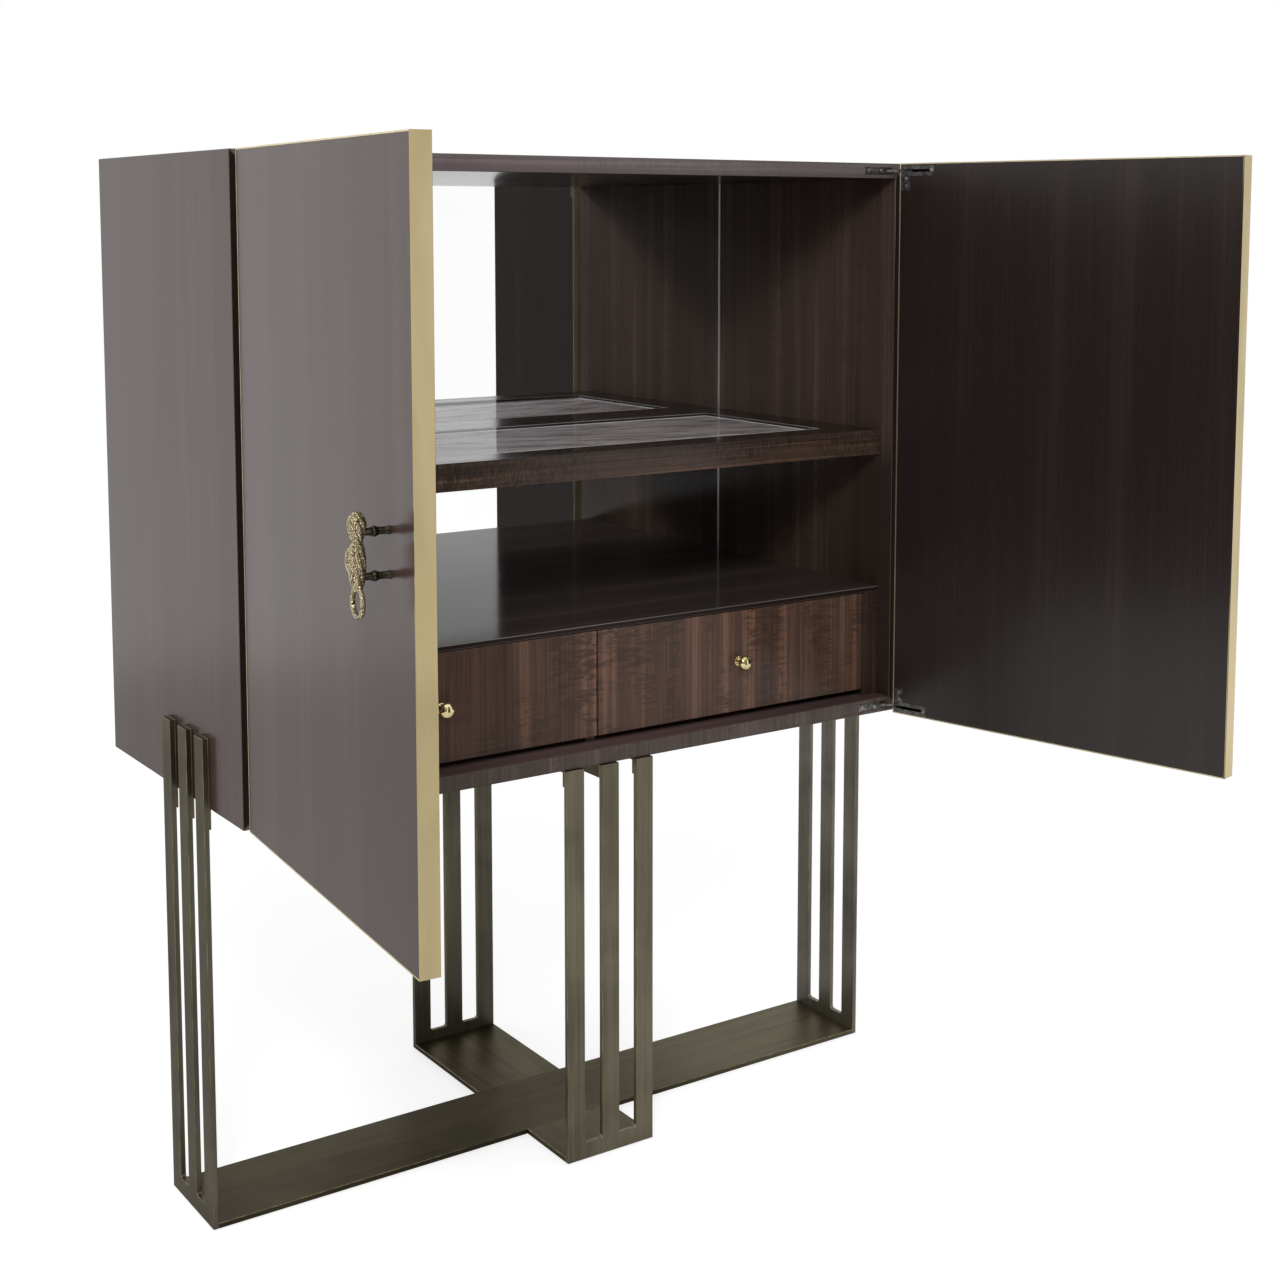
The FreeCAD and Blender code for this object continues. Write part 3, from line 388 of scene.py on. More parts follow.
def castBrass(name):
    look = castLook
    f = newFinish(name)
    spot = f.place()
    cells = f.node("ShaderNodeTexVoronoi", {"feature": "DISTANCE_TO_EDGE"}, {
        "Vector": spot, "Scale": look["cells"]})
    grit = f.grain(spot, *look["grit"])
    high = f.step(cells, *look["cellSpan"])
    mask = f.step(high * look["cellShare"] + grit * look["gritShare"], *look["maskSpan"])
    body = f.blend(f.step(mask, *look["skinSpan"]), look["recess"], look["skin"])
    return f.surface({
        "Base Color": f.blend(f.step(mask, *look["highSpan"]), body, look["high"]),
        "Metallic": 1.0,
        "Roughness": look["gloss"] + (1 - high) * look["recessGloss"],
        "Normal": f.relief(high + grit * look["gritHeight"], look["depth"], look["strength"]),
    })


# painted light: the inlay's own streaked colours are painted far paler, standing in for the light that the
# glass and the case keep off it
inlayLook = {
    "dark": (0.15, 0.112, 0.122), "mid": (0.62, 0.530, 0.545), "pale": (0.92, 0.878, 0.880), "turn": 16,
    "sweep": ((6, 36, 30), 4, 0.62, 1.1), "sweepSpan": (0.36, 0.56),
    "veins": ((16, 190, 60), 5, 0.7, 0.8), "veinSpan": (0.47, 0.60), "veinShare": 0.60,
    "flecks": ((60, 700, 200), 2, 0.5), "fleckSpan": (0.56, 0.74), "fleckShare": 0.4,
    "gloss": 0.38, "veinGloss": 0.15,
}


def streakedInlay(name):
    look = inlayLook
    f = newFinish(name)
    turned = f.node("ShaderNodeMapping", {}, {
        "Vector": f.place(), "Rotation": (0, 0, radians(look["turn"]))})
    sweep = f.grain(turned, *look["sweep"])
    veins = f.grain(turned, *look["veins"])
    flecks = f.step(f.grain(turned, *look["flecks"]), *look["fleckSpan"])
    body = f.blend(f.step(sweep, *look["sweepSpan"]), look["dark"], look["mid"])
    streaked = f.blend(f.step(veins, *look["veinSpan"]) * look["veinShare"], body, look["pale"])
    return f.surface({
        "Base Color": f.blend(flecks * look["fleckShare"], streaked, look["pale"]),
        "Roughness": look["gloss"] + veins * look["veinGloss"],
    })


glassLook = {
    "clear": (0.94, 0.975, 0.965), "smeared": (0.88, 0.94, 0.925), "smear": ((7, 7, 7), 3, 0.6, 0.5),
    "smearShare": 0.3, "smearSpan": (0.6, 0.8), "smearGloss": 0.015,
    "weight": 0.5, "mirrorLeast": 0.02, "mirrorMore": 0.36, "mirrorPower": 5,
}


def plateGlass(name):
    # clear from above, and more of a mirror at a flat angle
    look = glassLook
    f = newFinish(name)
    smear = f.grain(f.place(), *look["smear"])
    flatness = f.node("ShaderNodeLayerWeight", {}, {"Blend": look["weight"]}, out="Facing")
    return f.surface({
        "Base Color": f.blend(smear * look["smearShare"], look["clear"], look["smeared"]),
        "Metallic": 1.0,
        "Roughness": f.step(smear, *look["smearSpan"]) * look["smearGloss"],
        "Alpha": look["mirrorLeast"] + flatness ** look["mirrorPower"] * look["mirrorMore"],
    })


# painted highlight: the glass's slanted edge faces are painted pale green-white, their tone varying with the
# chips noise
glassEdgeHighlightLook = {"deep": (0.66, 0.72, 0.71), "bright": (0.95, 0.98, 0.97), "chips": ((160, 160, 160), 3, 0.6),
                 "gloss": 0.12, "chipGloss": 0.15}


def glassEdgeHighlight(name):
    look = glassEdgeHighlightLook
    f = newFinish(name)
    chips = f.grain(f.place(), *look["chips"])
    return f.surface({
        "Base Color": f.blend(chips, look["deep"], look["bright"]),
        "Roughness": look["gloss"] + chips * look["chipGloss"],
    })


silverLook = {"dull": (0.955, 0.965, 0.96), "clear": (0.975, 0.98, 0.978), "haze": ((4, 4, 4), 3, 0.6, 0.5),
              "hazeSpan": (0.35, 0.7), "glossSpan": (0.6, 0.85), "hazeGloss": 0.012}


def silvered(name):
    look = silverLook
    f = newFinish(name)
    haze = f.grain(f.place(), *look["haze"])
    return f.surface({
        "Base Color": f.blend(f.step(haze, *look["hazeSpan"]), look["dull"], look["clear"]),
        "Metallic": 1.0,
        "Roughness": f.step(haze, *look["glossSpan"]) * look["hazeGloss"],
    })


rubberLook = {"dark": (0.012, 0.012, 0.012), "worn": (0.035, 0.034, 0.033),
              "speck": ((900, 900, 900), 3, 0.6), "gloss": 0.62, "speckGloss": 0.2,
              "depth": 0.0004, "strength": 0.3}


def rubber(name):
    look = rubberLook
    f = newFinish(name)
    speck = f.grain(f.place(), *look["speck"])
    return f.surface({
        "Base Color": f.blend(speck, look["dark"], look["worn"]),
        "Roughness": look["gloss"] + speck * look["speckGloss"],
        "Normal": f.relief(speck, look["depth"], look["strength"]),
    })


singleFinishes = {"wornEdge": wornEdge, "castBrass": castBrass, "inlay": streakedInlay,
                  "plateGlass": plateGlass, "glassEdgeHighlight": glassEdgeHighlight, "silvered": silvered, "rubber": rubber}
finishes = {name: veneer(name) for name in veneerLooks}
finishes.update({name: metal(name) for name in metalLooks})
finishes.update({name: brushedBronze(name) for name in bronzeLooks})
finishes.update({name: make(name) for name, make in singleFinishes.items()})
print("finishes made:", len(finishes))


# modelling helpers

quarterTurn = (radians(90), 0, 0)  # lays an upright round piece along the depth
facing = 0.9  # least cosine for a face that looks a given way


def onlySelect(thing):
    bpy.ops.object.select_all(action="DESELECT")
    thing.select_set(True)
    bpy.context.view_layer.objects.active = thing


def startEdit(thing, mode="FACE"):
    onlySelect(thing)
    bpy.ops.object.mode_set(mode="EDIT")
    bpy.ops.mesh.select_mode(type=mode)


def editAll(thing, mode="VERT"):
    startEdit(thing, mode)
    bpy.ops.mesh.select_all(action="SELECT")


def stopEdit():
    bpy.ops.object.mode_set(mode="OBJECT")


def pickFaces(thing, wanted):
    bpy.ops.mesh.select_all(action="DESELECT")
    mesh = bmesh.from_edit_mesh(thing.data)
    for face in mesh.faces:
        face.select_set(wanted(face))
    bmesh.update_edit_mesh(thing.data)


def pickVerts(thing, wanted):
    bpy.ops.mesh.select_all(action="DESELECT")
    mesh = bmesh.from_edit_mesh(thing.data)
    for vert in mesh.verts:
        vert.select_set(wanted(vert))
    mesh.select_flush(True)
    bmesh.update_edit_mesh(thing.data)


def modify(thing, kind, settings):
    onlySelect(thing)
    change = thing.modifiers.new(kind.lower(), kind)
    for key, value in settings.items():
        setattr(change, key, value)
    bpy.ops.object.modifier_apply(modifier=change.name)


def settle(thing):
    onlySelect(thing)
    bpy.ops.object.transform_apply(location=True, rotation=True, scale=True)


def newPiece(add, stretch=(1, 1, 1), **settings):
    bpy.ops.object.select_all(action="DESELECT")
    add(**settings)
    thing = bpy.context.object
    thing.scale = stretch
    settle(thing)
    return thing


def weld(thing, gap=0.00002):
    editAll(thing)
    bpy.ops.mesh.remove_doubles(threshold=gap)
    bpy.ops.mesh.normals_make_consistent(inside=False)
    stopEdit()


def dress(thing, *names):
    thing.data.materials.clear()
    for name in names:
        thing.data.materials.append(finishes[name])


def dressFaces(thing, direction, index):
    for face in thing.data.polygons:
        if face.normal.dot(Vector(direction)) > facing:
            face.material_index = index


def copyOf(thing, name):
    twin = thing.copy()
    twin.data = thing.data.copy()
    twin.name = name
    bpy.context.scene.collection.objects.link(twin)
    return twin


def shift(thing, step):
    editAll(thing)
    bpy.ops.transform.translate(value=step)
    stopEdit()


def turn(thing, angle, centre):
    editAll(thing)
    bpy.ops.transform.rotate(value=angle, orient_axis="Z", center_override=centre)
    stopEdit()


def joinAll(things, name):
    bpy.ops.object.select_all(action="DESELECT")
    for thing in things:
        thing.select_set(True)
    bpy.context.view_layer.objects.active = things[0]
    bpy.ops.object.join()
    things[0].name = name
    return things[0]


# softened copies of the plain CAD pieces: slot, finishes, width of the eased edge

easedPieces = {
    "leg_left": ("stand_bronze", ["bronzeUpright", "wornEdge"], 0.0006),
    "leg_right": ("stand_bronze", ["bronzeFarPaintedLight", "wornEdge"], 0.0006),
    "leg_front": ("stand_bronze", ["bronzeFrontPaintedLight", "wornEdge"], 0.0006),
    "leg_back": ("stand_bronze", ["bronzeUpright", "wornEdge"], 0.0006),
    "leg_spacers": ("stand_bronze", ["bronzeUpright", "wornEdge"], 0.0004),
    "leg_clips": ("stand_bronze", ["bronzeDeepPaintedShade", "wornEdge"], 0.0004),
    "under_beam": ("stand_bronze", ["bronzeDeepPaintedShade", "wornEdge"], 0.0006),
    "base_long_bar": ("stand_bronze", ["bronzeAcrossPaintedShade", "wornEdge"], 0.0006),
    "base_front_bar": ("stand_bronze", ["bronzeDeepPaintedShade", "wornEdge"], 0.0006),
    "base_back_bar": ("stand_bronze", ["bronzeDeepPaintedShade", "wornEdge"], 0.0006),
    "floor_pads": ("pads", ["rubber"], 0.0004),
    "case_top": ("veneer", ["outerLevel", "innerLevel", "topEdgePaintedReflection"], 0.0007),
    "case_bottom": ("veneer", ["outerLevel", "bottomInnerPaintedLight", "bottomEdgePaintedReflection"], 0.0007),
    "case_left_side": ("veneer", ["outerUpright", "wallUprightPaintedLight", "sideEdgePaintedShade"], 0.0007),
    "case_right_side": ("veneer", ["outerUpright", "wallUprightPaintedLight", "sideEdgePaintedShade"], 0.0007),
    "case_back": ("back_board", ["backStain"], 0.0006),
    "shelf_board": ("veneer_inner", ["innerLevel"], 0.0005),
    "shelf_end_blocks": ("veneer_inner", ["figuredLevel"], 0.0005),
    "shelf_lipping": ("veneer_figured", ["figuredLevel"], 0.0005),
    "shelf_inlay": ("inlay", ["inlay"], 0.0003),
    "shelf_glass": ("shelf_glass", ["plateGlass", "glassEdgeHighlight"], 0.0010),
    "drawer_deck": ("veneer_inner", ["deckGlossPaintedReflection", "deckEdgePaintedShade", "arrisPaintedHighlight"], 0.0009),
    "left_packer": ("veneer_figured", ["edgeFigured"], 0.0005),
    "right_packer": ("veneer_figured", ["edgeFigured"], 0.0005),
    "drawer_divider": ("drawer_box", ["boxWood"], 0.0005),
}
for word in doors:
    easedPieces.update({
        f"{word}_door": ("veneer", ["outerUpright", "doorInnerPaintedShade"], 0.0003),
        f"{word}_door_edge": ("edge_brass", ["edgeBrass"], 0.0004),
        f"{word}_drawer_front": ("veneer_figured", ["figuredUpright"], 0.0008),
        f"{word}_drawer_sides": ("drawer_box", ["boxWood"], 0.0008),
        f"{word}_drawer_back": ("drawer_box", ["boxWood"], 0.0008),
        f"{word}_drawer_bottom": ("drawer_box", ["boxWood"], 0.0005),
        f"{word}_hinge_leaves": ("hinge_steel", ["hingeSteel"], 0.0003),
    })
easedPieces["hinge_plates"] = ("hinge_steel", ["hingeSteel"], 0.0003)

easing = {"merge": 0.00001, "flat": radians(0.4), "corner": radians(38), "smooth": radians(30)}
# on the stand the eased edge shows rubbed wear; on the deck it is a painted highlight line
arrisWearAndHighlight = ("wornEdge", "arrisPaintedHighlight")  # as the last finish, these go on the eased edge alone


def easedCopy(node, names, width):
    source = frame["nodes"][node]
    thing = bpy.data.objects.new(f"{node}_eased", source.data.copy())
    bpy.context.scene.collection.objects.link(thing)
    editAll(thing)
    bpy.ops.mesh.remove_doubles(threshold=easing["merge"])
    bpy.ops.mesh.dissolve_limited(angle_limit=easing["flat"])
    stopEdit()
    dress(thing, *names)
    modify(thing, "BEVEL", {
        "width": width, "segments": 1, "limit_method": "ANGLE", "angle_limit": easing["corner"],
        "material": len(names) - 1 if names[-1] in arrisWearAndHighlight else -1})
    bpy.ops.object.shade_smooth_by_angle(angle=easing["smooth"])
    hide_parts(node)
    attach(thing, source["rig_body"])
    return thing


eased = {}
for node, (slot, names, width) in easedPieces.items():
    eased[node] = easedCopy(node, names, width)

# the veneer changes from the outer faces to the inner ones, and again on the front edges of case and deck,
# and these changes mostly paint light, shade and reflection onto the veneer
forwards = (0, -1, 0)
inwards = {"case_top": (0, 0, -1), "case_bottom": (0, 0, 1),
           "case_left_side": (1, 0, 0), "case_right_side": (-1, 0, 0)}
for node, inward in inwards.items():
    dressFaces(eased[node], inward, 1)
    dressFaces(eased[node], forwards, 2)
for word, door in doors.items():
    swing = radians(door["angle"])
    dressFaces(eased[f"{word}_door"], (-sin(swing), cos(swing), 0), 1)
dressFaces(eased["drawer_deck"], forwards, 1)

# only the slanted faces of the glass are its bright edge, a painted highlight
glassSlant = (0.3, 0.9)
for face in eased["shelf_glass"].data.polygons:
    face.material_index = 1 if glassSlant[0] < abs(face.normal.z) < glassSlant[1] else 0

plainPieces = {"back_mirror": "silvered", "hinge_arms": "hingeSteel", "runner_rails": "runnerZinc",
               "left_door_trim": "trimBrass", "right_door_trim": "trimBrass"}
for word in doors:
    plainPieces.update({f"{word}_hinge_pins": "screwSteel", f"{word}_drawer_members": "runnerZinc",
                        f"{word}_runner_slides": "runnerZinc"})
for node, name in plainPieces.items():
    dress(frame["nodes"][node], name)
print("eased pieces:", len(eased))


# turned pieces: rings of (distance along the axis, radius), starting at the face that carries them

turnedSmooth = radians(34)


def turnedPiece(name, start, rings, corners):
    thing = newPiece(bpy.ops.mesh.primitive_circle_add, vertices=corners, radius=rings[0][1],
                     fill_type="NGON", location=start, rotation=quarterTurn)
    thing.name = name
    editAll(thing, "FACE")
    for (before, old), (after, new) in zip(rings, rings[1:]):
        bpy.ops.mesh.extrude_region_move(TRANSFORM_OT_translate={"value": (0, before - after, 0)})
        bpy.ops.transform.resize(value=(new / old, 1, new / old),
                                 center_override=(start.x, start.y - after, start.z))
    stopEdit()
    weld(thing)
    onlySelect(thing)
    bpy.ops.object.shade_smooth_by_angle(angle=turnedSmooth)
    return thing


def profileRings(look):
    # a profile lists the distance, the part and a share of that part's radius
    return [(place, look[part] * share) for place, part, share in look["profile"]]


def ballRings(start, end, radius, count):
    middle, half = (start + end) / 2, (end - start) / 2
    places = [start + (end - start) * (i + 0.5) / count for i in range(count)]
    return [(place, radius * sqrt(1 - ((place - middle) / half) ** 2)) for place in places]


knobTurning = {
    "flange": 0.0084, "neck": 0.0050, "ring": 0.0072, "corners": 40,
    "ball": 0.0124, "ballStart": 0.0084, "ballShows": 0.0096, "ballEnd": 0.0264, "ballRings": 16,
    "profile": [(0, "flange", 1), (0.0014, "flange", 1), (0.0020, "flange", 0.92), (0.0024, "neck", 1.15),
                (0.0034, "neck", 1), (0.0058, "neck", 1), (0.0064, "ring", 1), (0.0074, "ring", 1.06),
                (0.0082, "ring", 1), (0.0088, "neck", 1.3)],
}


def drawerKnob(word):
    look = knobTurning
    low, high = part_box(f"{word}_knob")
    start = Vector(((low.x + high.x) / 2, high.y, (low.z + high.z) / 2))
    ball = ballRings(look["ballStart"], look["ballEnd"], look["ball"], look["ballRings"])
    rings = profileRings(look) + [ring for ring in ball if ring[0] > look["ballShows"]]
    thing = turnedPiece(f"{word}_knob_turned", start, rings, look["corners"])
    dress(thing, "knobBrass")
    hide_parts(f"{word}_knob")
    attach(thing, f"{word}_drawer_body")


for word in doors:
    drawerKnob(word)
print("knobs turned")


# what rides on a door is modelled on the closed door and then swung open with it

doorBoard = {"gap": 0.003, "thickness": 0.026}
doorInside = caseFront - doorBoard["gap"]
doorOutside = doorInside - doorBoard["thickness"]


def swingOpen(thing, word):
    turn(thing, -radians(doors[word]["angle"]), doors[word]["pin"])


pullShape = {
    "across": 0.0735, "reach": 0.038, "low": pullLow.z, "high": pullHigh.z,
    "radius": 0.0105, "stemStart": 0.032, "corners": 24, "fluteEvery": 3, "flute": 0.86, "twist": 13,
    "rings": [(0, 0.50), (0.05, 0.64), (0.10, 0.78), (0.17, 0.90), (0.26, 0.97), (0.34, 1.0), (0.43, 0.96),
              (0.52, 0.86), (0.58, 0.76), (0.63, 0.68), (0.67, 0.74), (0.72, 0.90), (0.78, 1.02),
              (0.84, 1.06), (0.89, 1.02), (0.94, 0.84), (0.975, 0.60), (1, 0.30)],
    "ring": 0.0157, "ringBar": 0.0031, "ringRise": 1.10, "ringLift": 0.0002, "ringSteps": 48, "barSteps": 16,
    "scroll": 0.0104, "scrollBar": 0.0028, "scrollAside": 0.0212, "scrollLevel": 0.062, "scrollRise": 1.25,
    "voxel": 0.00062, "smoothShare": 0.5, "smoothTimes": 3,
    "skinScale": 0.0031, "skinMiddle": 0.75, "skinHeight": 0.0004,
}


def openRing(centre, radius, bar, rise):
    ring = newPiece(bpy.ops.mesh.primitive_torus_add, location=centre, rotation=quarterTurn,
                    major_segments=pullShape["ringSteps"], minor_segments=pullShape["barSteps"],
                    major_radius=radius, minor_radius=bar)
    startEdit(ring, "VERT")
    pickVerts(ring, lambda vert: vert.co.z > centre.z)  # the upper half draws out like a drop
    bpy.ops.transform.resize(value=(1, 1, rise), center_override=centre)
    stopEdit()
    return ring


def pullStem(axis):
    look = pullShape
    height = look["high"] - look["low"] - look["stemStart"]
    stem = newPiece(bpy.ops.mesh.primitive_circle_add, vertices=look["corners"], fill_type="NGON",
                    radius=look["rings"][0][1] * look["radius"], location=axis)
    startEdit(stem, "VERT")
    pickVerts(stem, lambda vert: vert.index % look["fluteEvery"] == 0)  # these go in, for a fluted section
    bpy.ops.transform.resize(value=(look["flute"], look["flute"], 1), center_override=axis)
    bpy.ops.mesh.select_mode(type="FACE")
    bpy.ops.mesh.select_all(action="SELECT")
    for (low, old), (high, new) in zip(look["rings"], look["rings"][1:]):
        bpy.ops.mesh.extrude_region_move(TRANSFORM_OT_translate={"value": (0, 0, (high - low) * height)})
        top = (axis.x, axis.y, axis.z + high * height)
        bpy.ops.transform.resize(value=(new / old, new / old, 1), center_override=top)
        bpy.ops.transform.rotate(value=radians(look["twist"]), orient_axis="Z", center_override=top)
    stopEdit()
    weld(stem)
    return stem


def castPull(word):
    look = pullShape
    side = doors[word]["side"]
    axis = Vector((side * look["across"], doorOutside - look["reach"], look["low"] + look["stemStart"]))
    stem = pullStem(axis)
    foot = Vector((axis.x, axis.y, look["low"] + look["ring"] + look["ringBar"] + look["ringLift"]))
    ring = openRing(foot, look["ring"], look["ringBar"], look["ringRise"])
    aside = Vector((axis.x + side * look["scrollAside"], axis.y, look["low"] + look["scrollLevel"]))
    scroll = openRing(aside, look["scroll"], look["scrollBar"], look["scrollRise"])
    pull = joinAll([stem, ring, scroll], f"{word}_pull_cast")
    modify(pull, "REMESH", {"mode": "VOXEL", "voxel_size": look["voxel"]})
    modify(pull, "SMOOTH", {"factor": look["smoothShare"], "iterations": look["smoothTimes"]})
    texture = bpy.data.textures.new(f"{word}CastSkin", "VORONOI")
    texture.noise_scale = look["skinScale"]
    modify(pull, "DISPLACE", {"texture": texture, "texture_coords": "LOCAL",
                              "mid_level": look["skinMiddle"], "strength": look["skinHeight"]})
    onlySelect(pull)
    bpy.ops.object.shade_smooth()
    swingOpen(pull, word)
    dress(pull, "castBrass")
    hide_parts(f"{word}_pull")
    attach(pull, f"{word}_door_body")


postTurning = {
    "stem": 0.0043, "flange": 0.0052, "collar": 0.0062, "spacing": 0.050, "corners": 28,
    "profile": [(0, "flange", 1), (0.0012, "flange", 1), (0.0020, "flange", 0.86), (0.0026, "stem", 1.1),
                (0.0040, "stem", 1), (0.0128, "stem", 1), (0.0136, "stem", 1.22), (0.0146, "stem", 1.22),
                (0.0152, "stem", 1.02), (0.0158, "collar", 0.94), (0.0164, "collar", 1),
                (0.0200, "collar", 1), (0.0208, "collar", 0.94), (0.0212, "stem", 1.02),
                (0.0218, "stem", 1.2), (0.0228, "stem", 1.2), (0.0236, "stem", 1), (0.0352, "stem", 0.98)],
}


def pullPosts(word):
    look = postTurning
    low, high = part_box(f"{word}_pull_posts")
    level = (low.z + high.z - look["spacing"]) / 2
    start = Vector((doors[word]["side"] * pullShape["across"], doorOutside, level))
    lower = turnedPiece(f"{word}PostLow", start, profileRings(look), look["corners"])
    upper = copyOf(lower, f"{word}PostHigh")
    shift(upper, (0, 0, look["spacing"]))
    posts = joinAll([lower, upper], f"{word}_pull_posts_turned")
    swingOpen(posts, word)
    dress(posts, "postBronze")
    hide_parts(f"{word}_pull_posts")
    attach(posts, f"{word}_door_body")


for word in doors:
    castPull(word)
    pullPosts(word)
print("pulls cast and posts turned")


# screw heads on the hinge plates and leaves: one head, copied

screwHead = {"radius": 0.0030, "height": 0.0009, "proud": 0.0003, "rim": 0.0004, "crown": 0.00016,
             "corners": 28, "slotLength": 0.0036, "slotWidth": 0.0008, "slotDepth": 0.0005}


def modelScrew():
    look = screwHead
    head = newPiece(bpy.ops.mesh.primitive_cylinder_add, vertices=look["corners"], radius=look["radius"],
                    depth=look["height"], location=(0, look["height"] / 2 - look["proud"], 0),
                    rotation=quarterTurn)
    startEdit(head)
    pickFaces(head, lambda face: face.normal.y < -facing)
    bpy.ops.mesh.inset(thickness=look["rim"])
    bpy.ops.transform.translate(value=(0, -look["crown"], 0))
    stopEdit()
    top = -look["proud"] - look["crown"]
    bars = []
    for wide, tall in ((look["slotLength"], look["slotWidth"]), (look["slotWidth"], look["slotLength"])):
        bars.append(newPiece(bpy.ops.mesh.primitive_cube_add, (wide, 2 * look["slotDepth"], tall),
                             size=1, location=(0, top, 0)))
    for bar in bars:
        modify(head, "BOOLEAN", {"operation": "DIFFERENCE", "object": bar, "solver": "EXACT"})
    for bar in bars:
        bpy.data.objects.remove(bar)
    onlySelect(head)
    bpy.ops.object.shade_smooth_by_angle(angle=easing["smooth"])
    dress(head, "screwSteel")
    return head


# plate screws are placed from the pin along the case's front edge
# leaf screws are placed from the pin along the door, and away from its end
hingeScrews = {"plateHalf": 0.006, "plate": (0.047, 0.074),
               "leaf": ((0.0515, 0.0), (0.002, 0.0135), (0.002, 0.0255))}
hingeRows = ((platesLow.z + hingeScrews["plateHalf"], 1), (platesHigh.z - hingeScrews["plateHalf"], -1))

head = modelScrew()
plateHeads = []
leafHeads = {word: [] for word in doors}
for word, door in doors.items():
    for level, inward in hingeRows:
        for along in hingeScrews["plate"]:
            screw = copyOf(head, "plateHead")
            shift(screw, (door["pin"].x - door["side"] * along, caseFront, level))
            plateHeads.append(screw)
        for along, rise in hingeScrews["leaf"]:
            screw = copyOf(head, f"{word}LeafHead")
            turn(screw, radians(180), (0, 0, 0))
            shift(screw, (door["pin"].x - door["side"] * along, doorInside, level + inward * rise))
            leafHeads[word].append(screw)
bpy.data.objects.remove(head)
plateHeads = joinAll(plateHeads, "hinge_plate_screws")
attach(plateHeads, "case")
for word in doors:
    heads = joinAll(leafHeads[word], f"{word}_leaf_screws")
    swingOpen(heads, word)
    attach(heads, f"{word}_door_body")
print("hinge screws placed")


# the bright arris of the mirror where it meets the case sides, above and below the shelf

mirrorEdge = {"width": 0.0022, "bevel": 0.0006, "bevelSteps": 2}


def mirrorArris():
    wide = mirrorEdge["width"]
    strips = []
    for x in (mirrorLow.x + wide / 2, mirrorHigh.x - wide / 2):
        for low, high in ((mirrorLow.z, shelfLow.z), (shelfHigh.z, mirrorHigh.z)):
            strip = newPiece(bpy.ops.mesh.primitive_cube_add, (wide, wide, high - low), size=1,
                             location=(x, mirrorLow.y - wide / 2, (low + high) / 2))
            modify(strip, "BEVEL", {"width": mirrorEdge["bevel"], "segments": mirrorEdge["bevelSteps"]})
            strips.append(strip)
    thing = joinAll(strips, "mirror_arris")
    dress(thing, "mirrorArris")
    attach(thing, "case")


mirrorArris()
print("mirror edges set")


# floor, light and camera

pureWhite = (1.0, 1.0, 1.0, 1.0)


def seenDirectly(f):
    # 1 for what the camera sees, also in gloss and through glass
    camera, glossy, through = (
        f.node("ShaderNodeLightPath", out=f"Is {ray} Ray") for ray in ("Camera", "Glossy", "Transmission"))
    return f.node("ShaderNodeMath", {"operation": "MINIMUM"}, {0: camera + glossy + through, 1: 1.0})


floorLook = {"size": 60, "matt": (0.90, 0.90, 0.90, 1.0), "glow": 0.45, "strength": 1.56}


def paleFloor():
    floor = newPiece(bpy.ops.mesh.primitive_plane_add, size=floorLook["size"])
    floor.name = "floor"
    f = newFinish("paleFloor")
    matt = f.node("ShaderNodeBsdfDiffuse", {}, {"Color": floorLook["matt"]})
    glow = f.node("ShaderNodeEmission", {}, {"Color": pureWhite, "Strength": floorLook["strength"]})
    mixed = f.node("ShaderNodeMixShader", {}, {0: seenDirectly(f) * floorLook["glow"], 1: matt, 2: glow})
    f.node("ShaderNodeOutputMaterial", {}, {"Surface": mixed})
    floor.data.materials.append(f.owner)


studioCards = {
    "cameraSideCard": {"middle": (-2.0, -4.2, 1.75), "size": (3.9, 3.5), "turn": (90, 0, -24), "tone": 0.32},
    "mirrorCard": {"middle": (0.58, -2.0, 1.3), "size": (0.75, 2.4), "turn": (90, 0, 0), "tone": 0.09},
    "floorCard": {"middle": (-1.6, -0.6, 0.002), "size": (8.0, 8.0), "turn": (0, 0, 0), "tone": 0.84},
}
cardSkin = {"weave": ((30, 30, 30), 3, 0.6), "weaveLow": 0.97, "weaveHigh": 1.03, "gloss": 0.8,
            "weaveGloss": 0.1}


def studioCard(name):
    # a flag that only gloss sees in place of the white room
    look = studioCards[name]
    card = newPiece(bpy.ops.mesh.primitive_plane_add, (*look["size"], 1), size=1, location=look["middle"],
                    rotation=[radians(angle) for angle in look["turn"]])
    card.name = name
    f = newFinish(name)
    weave = f.grain(f.place(), *cardSkin["weave"])
    low, high = ([cardSkin[end] * look["tone"]] * 3 for end in ("weaveLow", "weaveHigh"))
    card.data.materials.append(f.surface({
        "Base Color": f.blend(weave, low, high),
        "Roughness": cardSkin["gloss"] + weave * cardSkin["weaveGloss"],
        "Specular IOR Level": 0.0}))
    card.visible_camera = False
    card.visible_shadow = False
    card.visible_diffuse = False
    card.visible_transmission = False


skyForDiffuse = 0.60


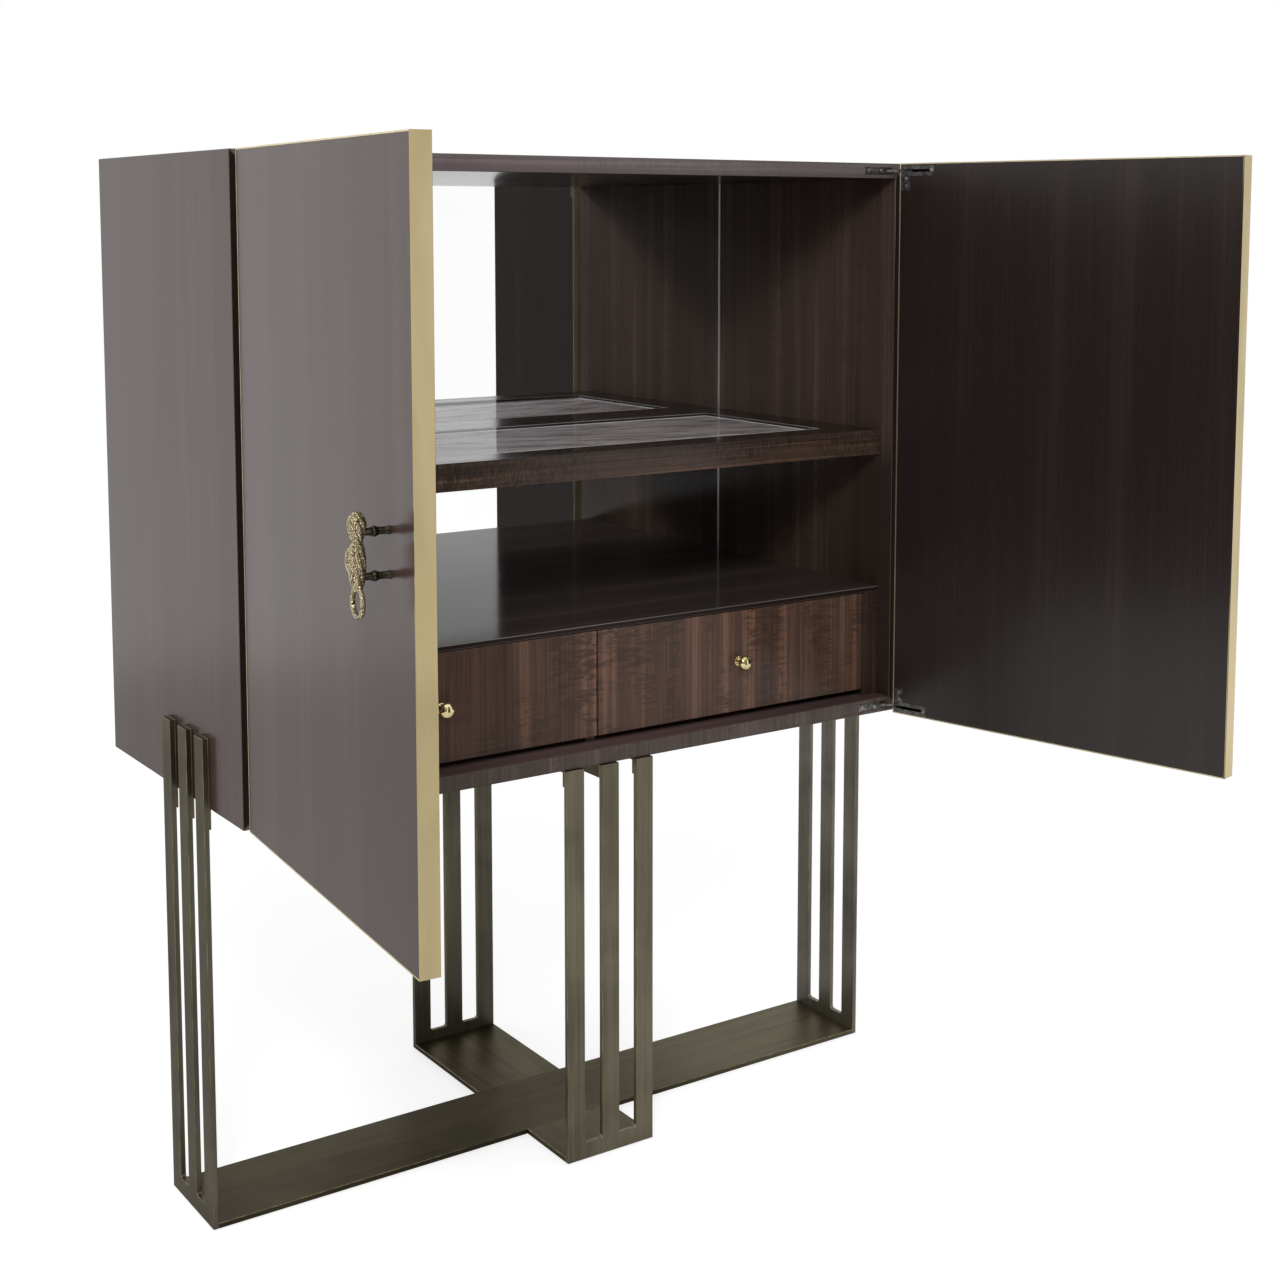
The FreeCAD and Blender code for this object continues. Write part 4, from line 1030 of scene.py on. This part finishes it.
def whiteRoom():
    f = Finish(bpy.data.worlds.new("whiteRoom"))
    sky = f.node("ShaderNodeBackground", {}, {
        "Color": pureWhite, "Strength": skyForDiffuse + (1 - skyForDiffuse) * seenDirectly(f)})
    f.node("ShaderNodeOutputWorld", {}, {"Surface": sky})
    bpy.context.scene.world = f.owner


lampLooks = {
    "key": {"place": (-2.6, -3.6, 3.6), "aim": (0.0, -0.1, 1.0), "size": 1.6, "power": 84, "inGloss": False},
    "glint": {"place": (-2.5, -3.5, 3.5), "aim": (0.0, -0.1, 1.0), "size": 0.5, "power": 38, "inGloss": True},
    "fill": {"place": (3.6, -3.0, 2.6), "aim": (0.0, 0.0, 0.9), "size": 3.0, "power": 30, "inGloss": False},
}


def softLamp(name):
    look = lampLooks[name]
    lamp = bpy.data.lights.new(f"{name}Lamp", "AREA")
    lamp.shape = "SQUARE"
    lamp.size = look["size"]
    lamp.energy = look["power"]
    holder = bpy.data.objects.new(f"{name}Lamp", lamp)
    holder.location = look["place"]
    away = Vector(look["aim"]) - Vector(look["place"])
    holder.rotation_euler = away.to_track_quat("-Z", "Y").to_euler()
    holder.visible_glossy = look["inGloss"]
    holder.visible_camera = False
    bpy.context.scene.collection.objects.link(holder)


viewpoint = {"place": (-1.5964, -2.6305, 1.4598), "yaw": 34.23, "pitch": 5.92, "lens": 54.12, "shift": -0.17,
             "sensor": 36}


def photoCamera():
    lens = bpy.data.cameras.new("photoCamera")
    lens.sensor_width = viewpoint["sensor"]
    lens.lens = viewpoint["lens"]
    lens.shift_y = viewpoint["shift"]
    camera = bpy.data.objects.new("photoCamera", lens)
    camera.location = viewpoint["place"]
    camera.rotation_euler = (radians(90 - viewpoint["pitch"]), 0, -radians(viewpoint["yaw"]))
    bpy.context.scene.collection.objects.link(camera)
    bpy.context.scene.camera = camera


paleFloor()
for name in studioCards:
    studioCard(name)
whiteRoom()
for name in lampLooks:
    softLamp(name)
photoCamera()
bpy.context.scene.view_settings.view_transform = "Standard"
print("studio set")
